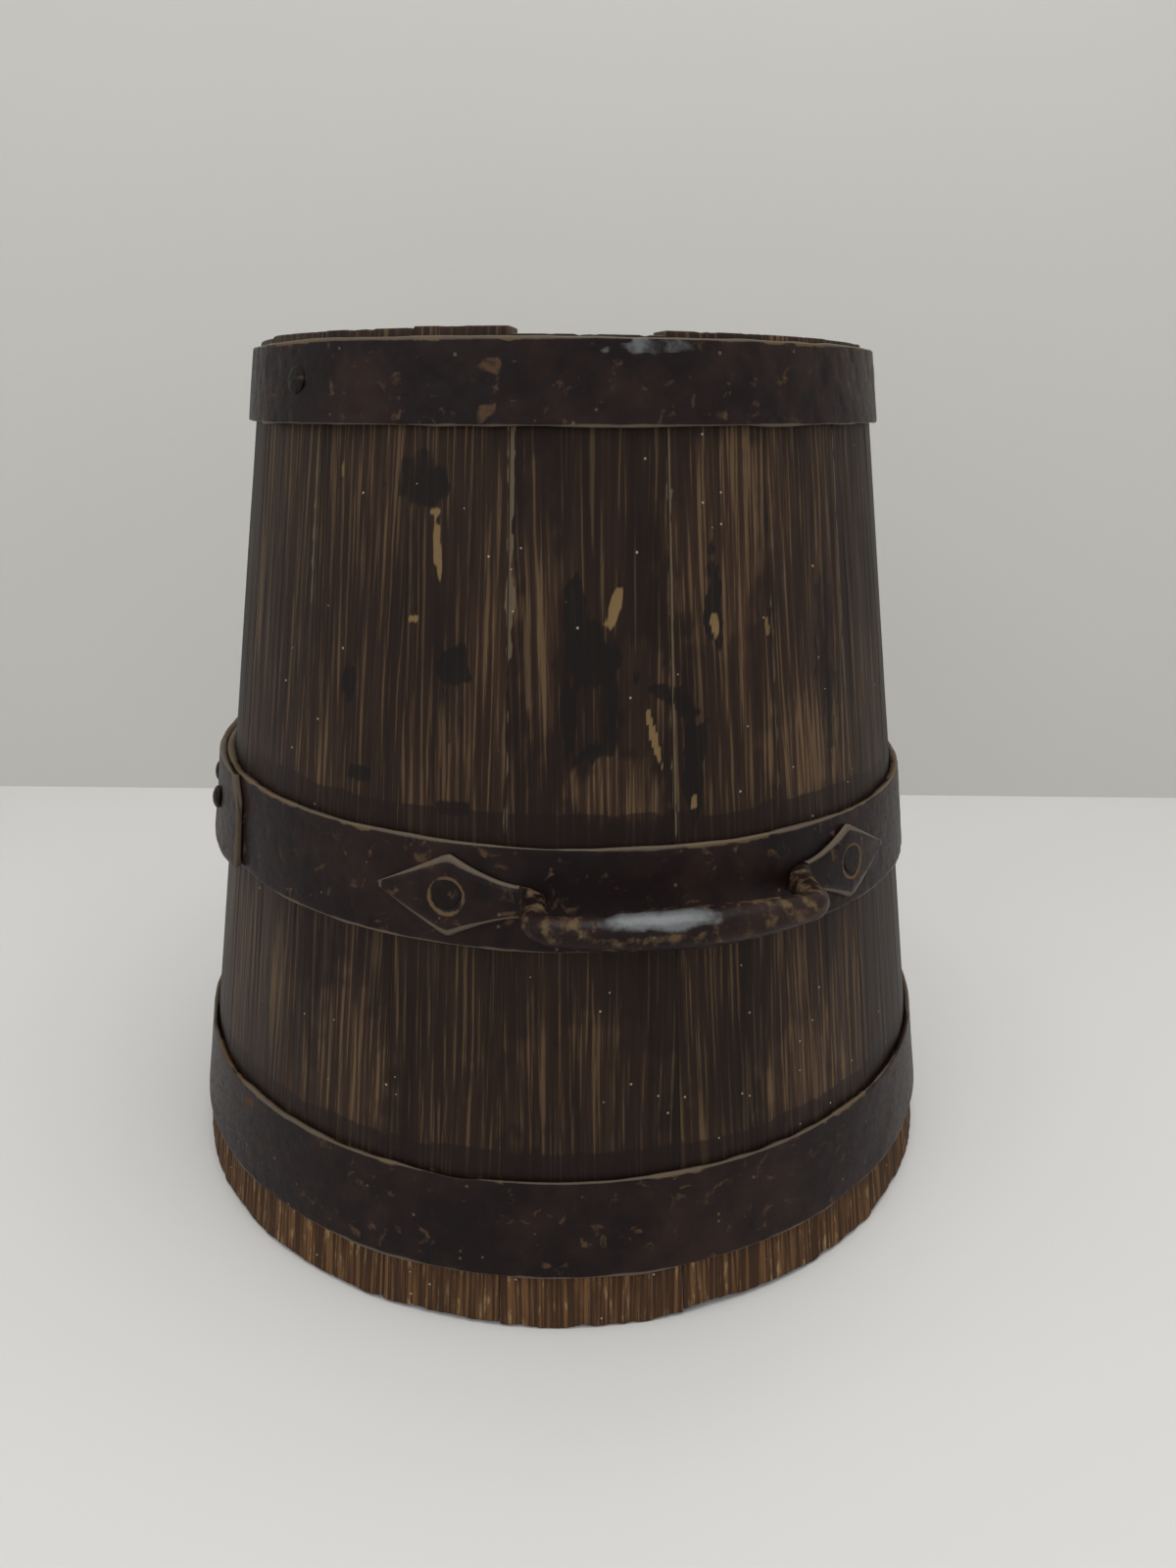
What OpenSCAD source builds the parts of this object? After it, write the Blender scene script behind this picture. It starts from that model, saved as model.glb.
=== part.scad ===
// Coopered grain measure: a staved tub that narrows from its foot to its mouth, with a boarded
// floor in a groove, three riveted iron hoops and two forged handles riveted to the middle hoop.
// Units are millimetres. The origin is the middle of the foot, on the table, and +Z points to
// the mouth. The handles stand on the -Y and +Y sides. Every azimuth is counted from -Y
// towards +X.

/* [Body] */
// Height from the table to the highest rim
body_h = 400; // [360:1:460]
// Outside diameter at the foot
foot_d = 402; // [380:1:440]
// Outside diameter at the mouth
mouth_d = 281; // [260:1:320]
// Thickness of a stave
stave_t = 14; // [11:0.5:18]
// Worn edge along the rim and the foot
worn_edge = 1.5; // [0.5:0.1:2.5]

/* [Floor] */
// Height of the floor's underside above the table
floor_z = 36; // [30:1:60]
// Thickness of the floor boards
floor_t = 16; // [13:0.5:22]
// Depth of the groove that holds the floor
croze_depth = 5; // [3:0.5:6]
// Height of the groove at its root
croze_root_h = 6; // [4:0.5:8]
// Height of the groove at its mouth
croze_mouth_h = 9; // [8.5:0.5:12]
// Play between the floor's bevelled edge and the groove
croze_play = 0.3; // [0.1:0.1:0.5]
// Gap between two floor boards
board_gap = 0.3; // [0.1:0.1:0.6]
// Diameter of the dowels between the boards
dowel_d = 8; // [6:0.5:10]
// Length of a dowel
dowel_l = 44; // [30:1:60]
// Distance of each dowel from the middle of a board joint
dowel_reach = 92; // [60:1:110]

/* [Hoops] */
// Distance from the highest rim down to the top hoop
top_hoop_drop = 3.6; // [3.5:0.1:12]
// Width of the top hoop's strap
top_hoop_w = 30.6; // [22:0.2:40]
// Thickness of the top hoop's strap
top_hoop_t = 3; // [2:0.1:4.5]
// Height of the middle hoop's lower edge
mid_hoop_z = 167; // [140:1:200]
// Width of the middle hoop's strap
mid_hoop_w = 42; // [40:0.5:52]
// Thickness of the middle hoop's strap
mid_hoop_t = 3.5; // [2:0.1:4.5]
// Height of the bottom hoop's lower edge
low_hoop_z = 27.4; // [20:0.2:40]
// Width of the bottom hoop's strap
low_hoop_w = 43.4; // [34:0.2:52]
// Thickness of the bottom hoop's strap
low_hoop_t = 2.6; // [2:0.1:4.5]
// Gap between iron and wood, and between two layers of iron
seat_gap = 0.2; // [0.1:0.1:0.4]

/* [Hoop laps] */
// Overlap of the top hoop's ends
top_lap_l = 58; // [50:1:80]
// Overlap of the middle hoop's ends
mid_lap_l = 108; // [100:1:130]
// Overlap of the bottom hoop's ends
low_lap_l = 96; // [90:1:130]
// Distance from the top hoop's free end to its only rivet
top_rivet_inset = 28; // [18:0.5:36]
// Distance from the free end of each lower hoop to its first rivet
low_rivet_inset = 37; // [18:0.5:42]
// Distance between two lap rivets
lap_rivet_pitch = 40; // [24:0.5:46]
// Diameter of a lap rivet's shank
lap_rivet_d = 6; // [4:0.2:8]
// Diameter of a lap rivet's domed head
lap_head_d = 11; // [9:0.2:14]
// Height of a lap rivet's domed head
lap_head_h = 2.8; // [1.5:0.1:4]

/* [Handles] */
// Straight distance between a handle's two rivets
rivet_span = 176; // [160:1:200]
// Length of a diamond palm from its rivet to its tip
palm_tip_l = 30; // [24:0.5:36]
// Length of a diamond palm from its rivet to its neck
palm_neck_l = 29; // [26:0.5:34]
// Height of a palm across its rivet
palm_h = 34; // [26:0.5:38]
// Thickness of a palm
palm_t = 3.6; // [2.5:0.1:5]
// Height of a palm's neck
neck_h = 13; // [11:0.5:15]
// Thickness of the bar in the middle
bar_d = 16; // [13:0.5:19]
// Thickness of the bar at its elbows
elbow_d = 11.6; // [9:0.2:13]
// Distance from the hoop's face to the middle of the bar
bar_standoff = 29.5; // [26:0.5:40]
// Outward bow of the bar between its elbows
bar_bow = 6; // [0:0.5:9]
// Rise of the bar above the palms
bar_rise = 2; // [0:0.5:6]
// Sideways lean of the hand-forged bar
bar_lean = -4; // [-6:0.5:6]
// Diameter of a handle rivet
handle_rivet_d = 10; // [8:0.2:12]
// Diameter of a handle rivet's countersunk head
handle_head_d = 12.6; // [12.2:0.2:15]
// Play round a rivet's shank
rivet_play = 0.1; // [0.05:0.05:0.2]

/* [Hidden] */
$fn = 96;
wood = "#4a3322";
board = "#5a4230";
iron = "#33282a";
worn_iron = "#4b423f";

// Relative width of each stave, from the azimuth of the first joint
first_joint = -75;
stave_shares = [19, 18, 15.5, 23, 17, 16.5, 16.5, 18, 17, 19,
                18.5, 17.5, 18, 19, 17, 18.5, 18, 17.5, 18.5, 18];
// How far each stave's end stays below the highest rim, and its foot above the table
rim_drops = [0.7, 0.5, 0, 2.7, 1, 1, 1.2, 2.4, 1.6, 0.4,
             1.2, 2.2, 0.6, 1.8, 0.2, 1.1, 2, 0.8, 1.4, 1.6];
foot_rises = [0.4, 0.9, 0.6, 0, 1.8, 0.8, 1.2, 0.3, 0.7, 0,
              1.1, 0.5, 1.4, 0, 0.8, 0.4, 1.2, 0.6, 0, 1];
// Relative width of each floor board
board_shares = [20, 29, 27, 24];

foot_r = foot_d / 2;
slope = (foot_d - mouth_d) / 2 / body_h;
lean_angle = atan(slope);
croze_z = floor_z + floor_t / 2;
reach = 2 * foot_r;

// What each hoop's list holds: its strap's thickness, width and mean height, its lap's length,
// the azimuth of the lap's free end, the way that the outer layer runs from there (1 towards
// +azimuth), the distance from there to the first lap rivet, the number of lap rivets, and
// the hoop's tilt in degrees with the azimuth of its low side
T = 0;
W = 1;
MID = 2;
LAP = 3;
LAP_AT = 4;
WAY = 5;
INSET = 6;
RIVETS = 7;
TILT = 8;
LOW_SIDE = 9;
top = [top_hoop_t, top_hoop_w, body_h - top_hoop_drop - top_hoop_w / 2,
       top_lap_l, -70.7, 1, top_rivet_inset, 1, 0.36, -90];
middle = [mid_hoop_t, mid_hoop_w, mid_hoop_z + mid_hoop_w / 2,
          mid_lap_l, -70.7, -1, low_rivet_inset, 2, 1.25, 90];
bottom = [low_hoop_t, low_hoop_w, low_hoop_z + low_hoop_w / 2,
          low_lap_l, 152, -1, low_rivet_inset, 2, 0.55, -42];

// Length over which a strap climbs onto its other end, and the gap that it leaves there
joggle_l = 14;
tail_gap = 1;
// How far the joggle runs on inside each layer, in degrees, and how deep under its faces
joggle_grip = 0.3;
joggle_inset = 0.05;
// Head of a handle rivet below the palm's face, and the depth of its countersink
head_sunk = 0.4;
head_cone_h = 1.8;
// Radii of the bends at the neck and at the elbow of a handle
neck_bend = 8;
elbow_bend = 9;
// Height and thickness of a palm's tip, and thickness of the leg where it leaves the neck
tip_h = 5;
tip_t = 2.4;
leg_d = 11;
// Points round a handle's section, and steps along its palm, bends, leg and half bar
ring_points = 16;
palm_steps = 12;
bend_steps = 5;
leg_steps = 2;
bar_steps = 8;

function pad(i) = i < 10 ? str("0", i) : str(i);
function stave_name(i) = str("stave_", pad(i + 1));
function board_name(i) = str("floor_board_", i + 1);
function sum_to(list, n) = n <= 0 ? 0 : list[n - 1] + sum_to(list, n - 1);
function share_to(list, n) = sum_to(list, n) / sum_to(list, len(list));
function joint_at(i) = first_joint + 360 * share_to(stave_shares, i);
function board_edge(i) = inner_r(croze_z) * (2 * share_to(board_shares, i) - 1);

// Radius of the staves' outer and inner face at height z
function outer_r(z) = foot_r - slope * z;
function inner_r(z) = outer_r(z) - stave_t;
// Distance of a hoop's own layer from the staves' outer face
function layer_in(t, layer) = seat_gap + layer * (t + seat_gap);
function degrees(radians) = radians * 180 / PI;
function arc_angle(length, z) = degrees(length / outer_r(z));
hoop_face_r = outer_r(middle[MID]) + seat_gap + mid_hoop_t;
// How far a tilted hoop's middle line stands above its mean height at azimuth a and radius r
function strap_rise(h, a, r) = -tan(h[TILT]) * r * cos(a - h[LOW_SIDE]);

// Turns a shape from the -Y side to an azimuth
module at_azimuth(a) {
    rotate([0, 0, a]) children();
}

// Places a shape made along -Z to +Z on the staves' face, square to it and pointing outwards
module on_wall(a, z) {
    at_azimuth(a) translate([0, -outer_r(z), z]) rotate([90 - lean_angle, 0, 0]) children();
}

// One stave: a slice of the tub's wall, with the groove for the floor
module stave(i) {
    low = foot_rises[i];
    high = body_h - rim_drops[i];
    root = croze_root_h / 2;
    mouth = croze_mouth_h / 2;
    profile = [
        [inner_r(low) + worn_edge, low],
        [outer_r(low) - worn_edge, low],
        [outer_r(low + worn_edge), low + worn_edge],
        [outer_r(high - worn_edge), high - worn_edge],
        [outer_r(high) - worn_edge, high],
        [inner_r(high) + worn_edge, high],
        [inner_r(high - worn_edge), high - worn_edge],
        [inner_r(croze_z + mouth), croze_z + mouth],
        [inner_r(croze_z) + croze_depth, croze_z + root],
        [inner_r(croze_z) + croze_depth, croze_z - root],
        [inner_r(croze_z - mouth), croze_z - mouth],
        [inner_r(low + worn_edge), low + worn_edge]
    ];
    color(wood)
    at_azimuth(joint_at(i) - 90)
    rotate_extrude(angle = joint_at(i + 1) - joint_at(i)) polygon(profile);
}

// The whole floor as a disc whose edge is bevelled from both faces to enter the groove
module floor_disc() {
    tip_r = inner_r(croze_z) + croze_depth - croze_play;
    tip_h = croze_root_h / 2 - croze_play;
    bevel = (croze_mouth_h - croze_root_h) / 2 / croze_depth;
    full_r = tip_r - (floor_t / 2 - tip_h) / bevel;
    rotate_extrude() polygon([
        [0, croze_z - floor_t / 2],
        [full_r, croze_z - floor_t / 2],
        [tip_r, croze_z - tip_h],
        [tip_r, croze_z + tip_h],
        [full_r, croze_z + floor_t / 2],
        [0, croze_z + floor_t / 2]
    ]);
}

// The dowels across the floor's joints, or their holes where extra is the play round them
module dowels(extra) {
    for (joint = [1 : len(board_shares) - 1], side = [-1, 1])
        translate([board_edge(joint), side * dowel_reach, croze_z])
        rotate([0, 90, 0])
        cylinder(h = dowel_l + 2 * extra, d = dowel_d + 2 * extra, center = true);
}

// One floor board, cut from the disc between two joints
module floor_board(i) {
    first = i == 0;
    last = i == len(board_shares) - 1;
    from = first ? -reach : board_edge(i) + board_gap / 2;
    to = last ? reach : board_edge(i + 1) - board_gap / 2;
    color(board)
    difference() {
        intersection() {
            floor_disc();
            translate([from, -reach, floor_z - 1]) cube([to - from, 2 * reach, floor_t + 2]);
        }
        dowels(rivet_play);
    }
}

module floor_dowels() {
    color(board) dowels(0);
}

// A sector of a wall that follows the staves' slope, between two distances from their outer
// face, from azimuth a over the angle turn
module wall_sector(near, far, z_low, z_high, a, turn) {
    at_azimuth(a - 90)
    rotate_extrude(angle = turn)
    polygon([
        [outer_r(z_low) + near, z_low],
        [outer_r(z_low) + far, z_low],
        [outer_r(z_high) + far, z_high],
        [outer_r(z_high) + near, z_high]
    ]);
}

// One stretch of a strap's layer, thinned by inset on each face, from one azimuth to another,
// counted along the way that the outer layer runs from its free end
module layer_sector(h, layer, inset, from, to) {
    near = layer_in(h[T], layer) + inset;
    far = layer_in(h[T], layer) + h[T] - inset;
    half_w = h[W] / 2 + 3 + reach / 2 * tan(h[TILT]) - inset;
    start = h[LAP_AT] + (h[WAY] > 0 ? from : -to);
    wall_sector(near, far, h[MID] - half_w, h[MID] + half_w, start, to - from);
}

// The strap before it is cut to its width: an inner layer that runs all the way round, a
// joggle, and an outer layer that lies over its own tail
module strap_layers(h) {
    lap = arc_angle(h[LAP], h[MID]);
    joggle = arc_angle(joggle_l, h[MID]);
    tail = arc_angle(tail_gap, h[MID]);
    layer_sector(h, 0, 0, lap + joggle, 360 + lap - tail);
    layer_sector(h, 1, 0, 0, lap);
    hull() {
        layer_sector(h, 1, joggle_inset, lap - joggle_grip, lap);
        layer_sector(h, 0, joggle_inset, lap + joggle, lap + joggle + joggle_grip);
    }
}

// A riveted hoop, cut to its width between two parallel planes that tilt a little
module hoop(h) {
    difference() {
        intersection() {
            strap_layers(h);
            translate([0, 0, h[MID]])
            at_azimuth(h[LOW_SIDE] - 90)
            rotate([0, h[TILT], 0])
            cube([2 * reach, 2 * reach, h[W]], center = true);
        }
        at_lap_rivets(h) lap_shank(h[T], rivet_play);
    }
}

// Repeats a shape at each of a hoop's lap rivets, counted from the free end
module at_lap_rivets(h) {
    for (n = [0 : h[RIVETS] - 1]) {
        a = h[LAP_AT] + h[WAY] * arc_angle(h[INSET] + n * lap_rivet_pitch, h[MID]);
        on_wall(a, h[MID] + strap_rise(h, a, outer_r(h[MID]))) children();
    }
}

// Shank of a lap rivet through both layers, or its hole where extra is the play round it
module lap_shank(t, extra) {
    past = extra > 0 ? 1 : 0;
    translate([0, 0, 1.5 * seat_gap - past])
    cylinder(h = 2 * t + 2 * seat_gap + 2 * past, d = lap_rivet_d + 2 * extra);
}

// Domed head that sits on the outer layer
module lap_head(t, height) {
    ball_r = (pow(lap_head_d / 2, 2) + pow(height, 2)) / (2 * height);
    translate([0, 0, layer_in(t, 1) + t + seat_gap / 2])
    intersection() {
        translate([0, 0, height - ball_r]) sphere(r = ball_r);
        cylinder(h = 2 * height, d = 2 * lap_head_d);
    }
}

module lap_rivets(h, height) {
    color(worn_iron)
    at_lap_rivets(h) {
        lap_shank(h[T], 0);
        lap_head(h[T], height);
    }
}

module top_hoop() {
    color(iron) hoop(top);
}

module middle_hoop() {
    color(iron)
    difference() {
        hoop(middle);
        for (side = [0, 180]) at_azimuth(side) handle_rivet_pair(side, rivet_play);
    }
}

module bottom_hoop() {
    color(iron) hoop(bottom);
}

// The top hoop's rivet is hammered almost flat
module top_hoop_rivet() {
    lap_rivets(top, lap_head_h / 2);
}

module middle_hoop_rivets() {
    lap_rivets(middle, lap_head_h);
}

module bottom_hoop_rivets() {
    lap_rivets(bottom, lap_head_h);
}

// The stations of a handle. Seen from above, t runs along the bar and n outwards from the
// tub's axis. A heading is counted from -t towards +n, along the way from a palm's tip to
// the middle of the bar. A station is [t, n, heading, half thickness, half height, squareness,
// lean]: squareness shapes the section from a round (2) to a plate, and lean is 1 where the
// section leans with the wall.
function mix(a, b, k) = a + (b - a) * k;
function ease(k) = k * k * (3 - 2 * k);

palm_n = hoop_face_r + seat_gap;
neck_r = palm_n + palm_t / 2;
palm_at = asin(rivet_span / 2 / neck_r);
neck_at = palm_at - degrees(palm_neck_l / neck_r);
tip_at = palm_at + degrees(palm_tip_l / neck_r);
neck_t = neck_r * sin(neck_at);
neck_n = neck_r * cos(neck_at);
leg_t = neck_t - neck_bend * (1 - sin(neck_at));
leg_from_n = neck_n + neck_bend * cos(neck_at);
bow_heading = atan(2 * bar_bow / (leg_t - elbow_bend));
bar_half_l = leg_t - elbow_bend * (1 - sin(bow_heading));
bow_h = bar_half_l * tan(bow_heading) / 2;
bar_n = hoop_face_r + bar_standoff;
leg_to_n = bar_n - bow_h - elbow_bend * cos(bow_heading);

// A palm is a diamond: straight sides to its tip, and sides that hollow in to its neck
function palm_half_h(along) =
    along > 0 ? mix(palm_h, tip_h, along / palm_tip_l) / 2
              : mix(neck_h, palm_h, pow(1 + along / palm_neck_l, 1.5)) / 2;
function palm_station(k) =
    let (along = mix(palm_tip_l, -palm_neck_l, k), a = palm_at + degrees(along / neck_r),
         half_t = along > 0 ? mix(palm_t, tip_t, along / palm_tip_l) / 2 : palm_t / 2)
    [(palm_n + half_t) * sin(a), (palm_n + half_t) * cos(a), a, half_t, palm_half_h(along), 6, 1];
function neck_station(k) =
    let (h = mix(neck_at, 90, k))
    [neck_t - neck_bend * (sin(h) - sin(neck_at)), neck_n + neck_bend * (cos(neck_at) - cos(h)), h,
     mix(palm_t, leg_d, ease(k)) / 2, mix(neck_h, leg_d, k) / 2, mix(6, 2.5, ease(k)), 1 - k];
function leg_station(k) =
    [leg_t, mix(leg_from_n, leg_to_n, k), 90, mix(leg_d, elbow_d, k) / 2,
     mix(leg_d, elbow_d, k) / 2, mix(2.5, 2, k), 0];
function elbow_station(k) =
    let (h = mix(90, bow_heading, k))
    [leg_t - elbow_bend * (1 - sin(h)), leg_to_n + elbow_bend * cos(h), h,
     elbow_d / 2, elbow_d / 2, 2, 0];
function bar_station(k) =
    let (t = bar_half_l * (1 - k), d = mix(elbow_d, bar_d, sin(90 * k)))
    [t, bar_n - bow_h * pow(1 - k, 2), atan(2 * bow_h * t / pow(bar_half_l, 2)), d / 2, d / 2, 2, 0];

half_stations = concat(
    [for (i = [0 : palm_steps]) palm_station(i / palm_steps)],
    [for (i = [1 : bend_steps]) neck_station(i / bend_steps)],
    [for (i = [1 : leg_steps]) leg_station(i / leg_steps)],
    [for (i = [1 : bend_steps]) elbow_station(i / bend_steps)],
    [for (i = [1 : bar_steps]) bar_station(i / bar_steps)]
);
half_count = len(half_stations);
ring_count = 2 * half_count - 1;

// Share of the way out from the neck to the bar, at distance n from the axis
function way_out(n) = ease(max(0, min(1, (n - neck_n) / (leg_to_n - neck_n))));

// One point of a section. side turns the handle to the other face of the tub, hand is 1 on
// the right half and -1 on the left, and u and v are the point's place in the section
function section_point(station, side, hand, u, v) =
    let (t = station[0], n = station[1], heading = station[2], lean = slope * station[6],
         rise = strap_rise(middle, side + hand * atan2(t, n), norm([t, n])),
         out = u - lean * (v + rise))
    [hand * (t + out * sin(heading)) + bar_lean * way_out(n),
     -(n + out * cos(heading)),
     middle[MID] + rise + v + u * lean + bar_rise * way_out(n)];
function rounded(k, squareness) = sign(k) * pow(abs(k), 2 / squareness);
function section_ring(station, side, hand) = [
    for (j = [0 : ring_points - 1])
        let (a = 360 * (j + 0.5) / ring_points)
        section_point(station, side, hand, station[3] * rounded(cos(a), station[5]),
                      station[4] * rounded(sin(a), station[5]))
];

// Stations from the right palm's tip over the bar to the left palm's tip
function full_ring(i, side) =
    i < half_count ? section_ring(half_stations[i], side, 1)
                   : section_ring(half_stations[ring_count - 1 - i], side, -1);

module handle(side) {
    points = [for (i = [0 : ring_count - 1]) each full_ring(i, side)];
    walls = [
        for (i = [0 : ring_count - 2], j = [0 : ring_points - 1])
            let (k = (j + 1) % ring_points, a = i * ring_points, b = a + ring_points)
            each [[a + j, b + k, a + k], [a + j, b + j, b + k]]
    ];
    first_cap = [for (j = [0 : ring_points - 1]) j];
    last_cap = [for (j = [1 : ring_points]) ring_count * ring_points - j];
    color(worn_iron)
    at_azimuth(side)
    difference() {
        polyhedron(points = points, faces = concat([first_cap], walls, [last_cap]));
        handle_rivet_pair(side, rivet_play);
    }
}

// A handle rivet, square to the wall, with its head sunk into the palm, or its hole where
// extra is the play round it
module handle_rivet(extra) {
    palm_face = 2 * seat_gap + mid_hoop_t + palm_t;
    head_z = palm_face - head_sunk;
    from = extra > 0 ? 0 : seat_gap + 0.1;
    translate([0, 0, from]) cylinder(h = head_z - from, d = handle_rivet_d + 2 * extra);
    translate([0, 0, head_z - head_cone_h])
    cylinder(h = head_cone_h, d1 = handle_rivet_d + 2 * extra, d2 = handle_head_d + 2 * extra);
    if (extra > 0) translate([0, 0, head_z]) cylinder(h = palm_t, d = handle_head_d + 2 * extra);
}

// Both rivets of the handle on one side of the tub, before they are turned to that side
module handle_rivet_pair(side, extra) {
    for (hand = [-1, 1])
        on_wall(hand * palm_at, middle[MID] + strap_rise(middle, side + hand * palm_at, neck_r))
        handle_rivet(extra);
}

module handle_rivets(side) {
    color(worn_iron) at_azimuth(side) handle_rivet_pair(side, 0);
}

for (i = [0 : len(stave_shares) - 1])
    stave(i);
for (i = [0 : len(board_shares) - 1])
    floor_board(i);
floor_dowels();
top_hoop();
middle_hoop();
bottom_hoop();
top_hoop_rivet();
middle_hoop_rivets();
bottom_hoop_rivets();
handle(0);  // front_handle
handle(180);  // rear_handle
handle_rivets(0);  // front_handle_rivets
handle_rivets(180);  // rear_handle_rivets
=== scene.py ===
"""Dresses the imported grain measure: worn staves, forged straps, hammered handles and a pale studio.

Lengths are metres in the measure's own frame: +Z to the mouth, the photographed handle on -Y. An
azimuth is counted in degrees from -Y towards +X. Every shape is a formula on a grid, worked out
with numpy as whole arrays.
"""

from __future__ import annotations

import logging
import math
from dataclasses import dataclass, field
from enum import Enum
from functools import cached_property

import bpy
import numpy as np
from mathutils import Matrix, Vector


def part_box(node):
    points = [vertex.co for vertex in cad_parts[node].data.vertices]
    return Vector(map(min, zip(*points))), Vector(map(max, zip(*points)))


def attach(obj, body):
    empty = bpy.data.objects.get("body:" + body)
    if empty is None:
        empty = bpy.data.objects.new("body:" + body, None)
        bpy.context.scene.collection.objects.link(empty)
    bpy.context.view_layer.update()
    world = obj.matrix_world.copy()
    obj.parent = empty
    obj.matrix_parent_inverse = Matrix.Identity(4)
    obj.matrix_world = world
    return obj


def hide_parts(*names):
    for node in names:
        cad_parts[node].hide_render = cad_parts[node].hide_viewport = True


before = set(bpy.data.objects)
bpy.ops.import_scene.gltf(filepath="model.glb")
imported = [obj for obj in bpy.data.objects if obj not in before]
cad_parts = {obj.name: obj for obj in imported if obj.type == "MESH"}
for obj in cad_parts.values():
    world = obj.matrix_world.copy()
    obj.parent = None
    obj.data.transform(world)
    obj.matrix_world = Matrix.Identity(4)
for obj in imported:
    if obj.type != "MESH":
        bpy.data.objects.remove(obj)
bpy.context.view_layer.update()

LOG = logging.getLogger("grain_measure")
MM = 0.001
BODY = "root"

Array = np.ndarray
Colour = tuple[float, float, float, float]


def srgb(red: int, green: int, blue: int) -> Colour:
    """Turns a display colour into the linear colour that a shader mixes.

    Args:
        red: red from 0 to 255.
        green: green from 0 to 255.
        blue: blue from 0 to 255.

    Returns:
        The linear colour, opaque.
    """
    shown = np.array([red, green, blue]) / 255
    linear = np.where(shown > 0.04045, ((shown + 0.055) / 1.055) ** 2.4, shown / 12.92)
    return (*(float(c) for c in linear), 1.0)


def ease(low: float, high: float, value: Array) -> Array:
    """Rises smoothly from 0 at low to 1 at high, as 3t^2 - 2t^3."""
    t = np.clip((value - low) / (high - low), 0, 1)
    return t * t * (3 - 2 * t)


def turned(azimuth: Array, radius: Array, height: Array) -> Array:
    """Points at an azimuth in degrees, a radius and a height, as rows of x, y and z."""
    a = np.radians(azimuth)
    return np.stack(np.broadcast_arrays(radius * np.sin(a), -radius * np.cos(a), height), -1)


class Unevenness:
    """Smooth seeded noise on a plane: random heights on a lattice, eased between its points."""

    SIZE = 256

    def __init__(self, seed: int) -> None:
        """Draws the lattice's heights from -1 to 1."""
        self.heights = np.random.default_rng(seed).uniform(-1, 1, (self.SIZE, self.SIZE))

    def at(self, x: Array, y: Array) -> Array:
        """Height at x and y, in lattice steps: the four corners' heights mixed by 3t^2 - 2t^3."""
        x, y = np.broadcast_arrays(np.asarray(x, float), np.asarray(y, float))
        left, low = np.floor(x).astype(int), np.floor(y).astype(int)
        u, v = x - left, y - low
        u, v = u * u * (3 - 2 * u), v * v * (3 - 2 * v)
        corner = {
            (i, j): self.heights[(left + i) % self.SIZE, (low + j) % self.SIZE]
            for i in (0, 1)
            for j in (0, 1)
        }
        lower = corner[0, 0] * (1 - u) + corner[1, 0] * u
        upper = corner[0, 1] * (1 - u) + corner[1, 1] * u
        return lower * (1 - v) + upper * v

    def rough(self, x: Array, y: Array, octaves: int = 3) -> Array:
        """Sum of octaves of the noise, each twice as fine and half as high as the last."""
        return sum(self.at(x * 2**n + 17 * n, y * 2**n) / 2**n for n in range(octaves))


@dataclass(frozen=True)
class Mesh:
    """A closed surface: its points, its faces and what its materials read at each point."""

    points: Array
    faces: Array
    fields: dict[str, Array] = field(default_factory=dict)
    slots: Array | None = None

    def piece(self, name: str, materials: list[bpy.types.Material]) -> bpy.types.Object:
        """Makes the Blender object of this surface.

        Args:
            name: the object's name.
            materials: the materials that slots counts.

        Returns:
            The object, at the origin, with smooth faces.
        """
        data = bpy.data.meshes.new(name)
        data.from_pydata(self.points, [], self.faces.tolist())
        for label, values in self.fields.items():
            kind, part = ("FLOAT_VECTOR", "vector") if values.shape[1] == 3 else ("FLOAT_COLOR", "color")
            attribute = data.attributes.new(label, kind, "POINT")
            attribute.data.foreach_set(part, np.ascontiguousarray(values, np.float32).ravel())
        for material in materials:
            data.materials.append(material)
        data.polygons.foreach_set("use_smooth", np.ones(len(data.polygons), bool))
        if self.slots is not None:
            data.polygons.foreach_set("material_index", self.slots.astype(np.int32))
        data.validate()
        data.update()
        made = bpy.data.objects.new(name, data)
        bpy.context.scene.collection.objects.link(made)
        return made


@dataclass(frozen=True)
class BlockGrid:
    """The surface of a block of across x through x along cells, as a closed net of quads."""

    across: int
    through: int
    along: int

    def side(self, fixed: int, value: int, flipped: bool) -> Array:
        """Quads of one side of the block, as ids of lattice points.

        Args:
            fixed: the axis that this side is square to.
            value: the lattice value there.
            flipped: whether the quads' order is turned round to face outwards.

        Returns:
            Rows of four ids.
        """
        counts = (self.across, self.through, self.along)
        first, second = [axis for axis in range(3) if axis != fixed]
        a, b = np.meshgrid(np.arange(counts[first]), np.arange(counts[second]), indexing="ij")
        corners = []
        for da, db in ((0, 0), (1, 0), (1, 1), (0, 1)):
            place = [None, None, None]
            place[fixed] = np.full(a.shape, value)
            place[first], place[second] = a + da, b + db
            corners.append(self.point_id(*place).ravel())
        quads = np.stack(corners, 1)
        return quads[:, ::-1] if flipped else quads

    def point_id(self, i: Array, j: Array, k: Array) -> Array:
        """One number for each lattice point."""
        return (i * (self.through + 1) + j) * (self.along + 1) + k

    @cached_property
    def net(self) -> tuple[Array, Array, Array, Array, Array]:
        """The lattice places i, j and k of the surface's points, its quads, and each quad's side."""
        sides = [
            self.side(0, 0, True),
            self.side(0, self.across, False),
            self.side(1, 0, False),
            self.side(1, self.through, True),
            self.side(2, 0, True),
            self.side(2, self.along, False),
        ]
        quads = np.concatenate(sides)
        side_of = np.repeat(np.arange(6), [len(side) for side in sides])
        ids, index = np.unique(quads, return_inverse=True)
        i, rest = np.divmod(ids, (self.through + 1) * (self.along + 1))
        j, k = np.divmod(rest, self.along + 1)
        return i, j, k, index.reshape(quads.shape), side_of


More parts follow.
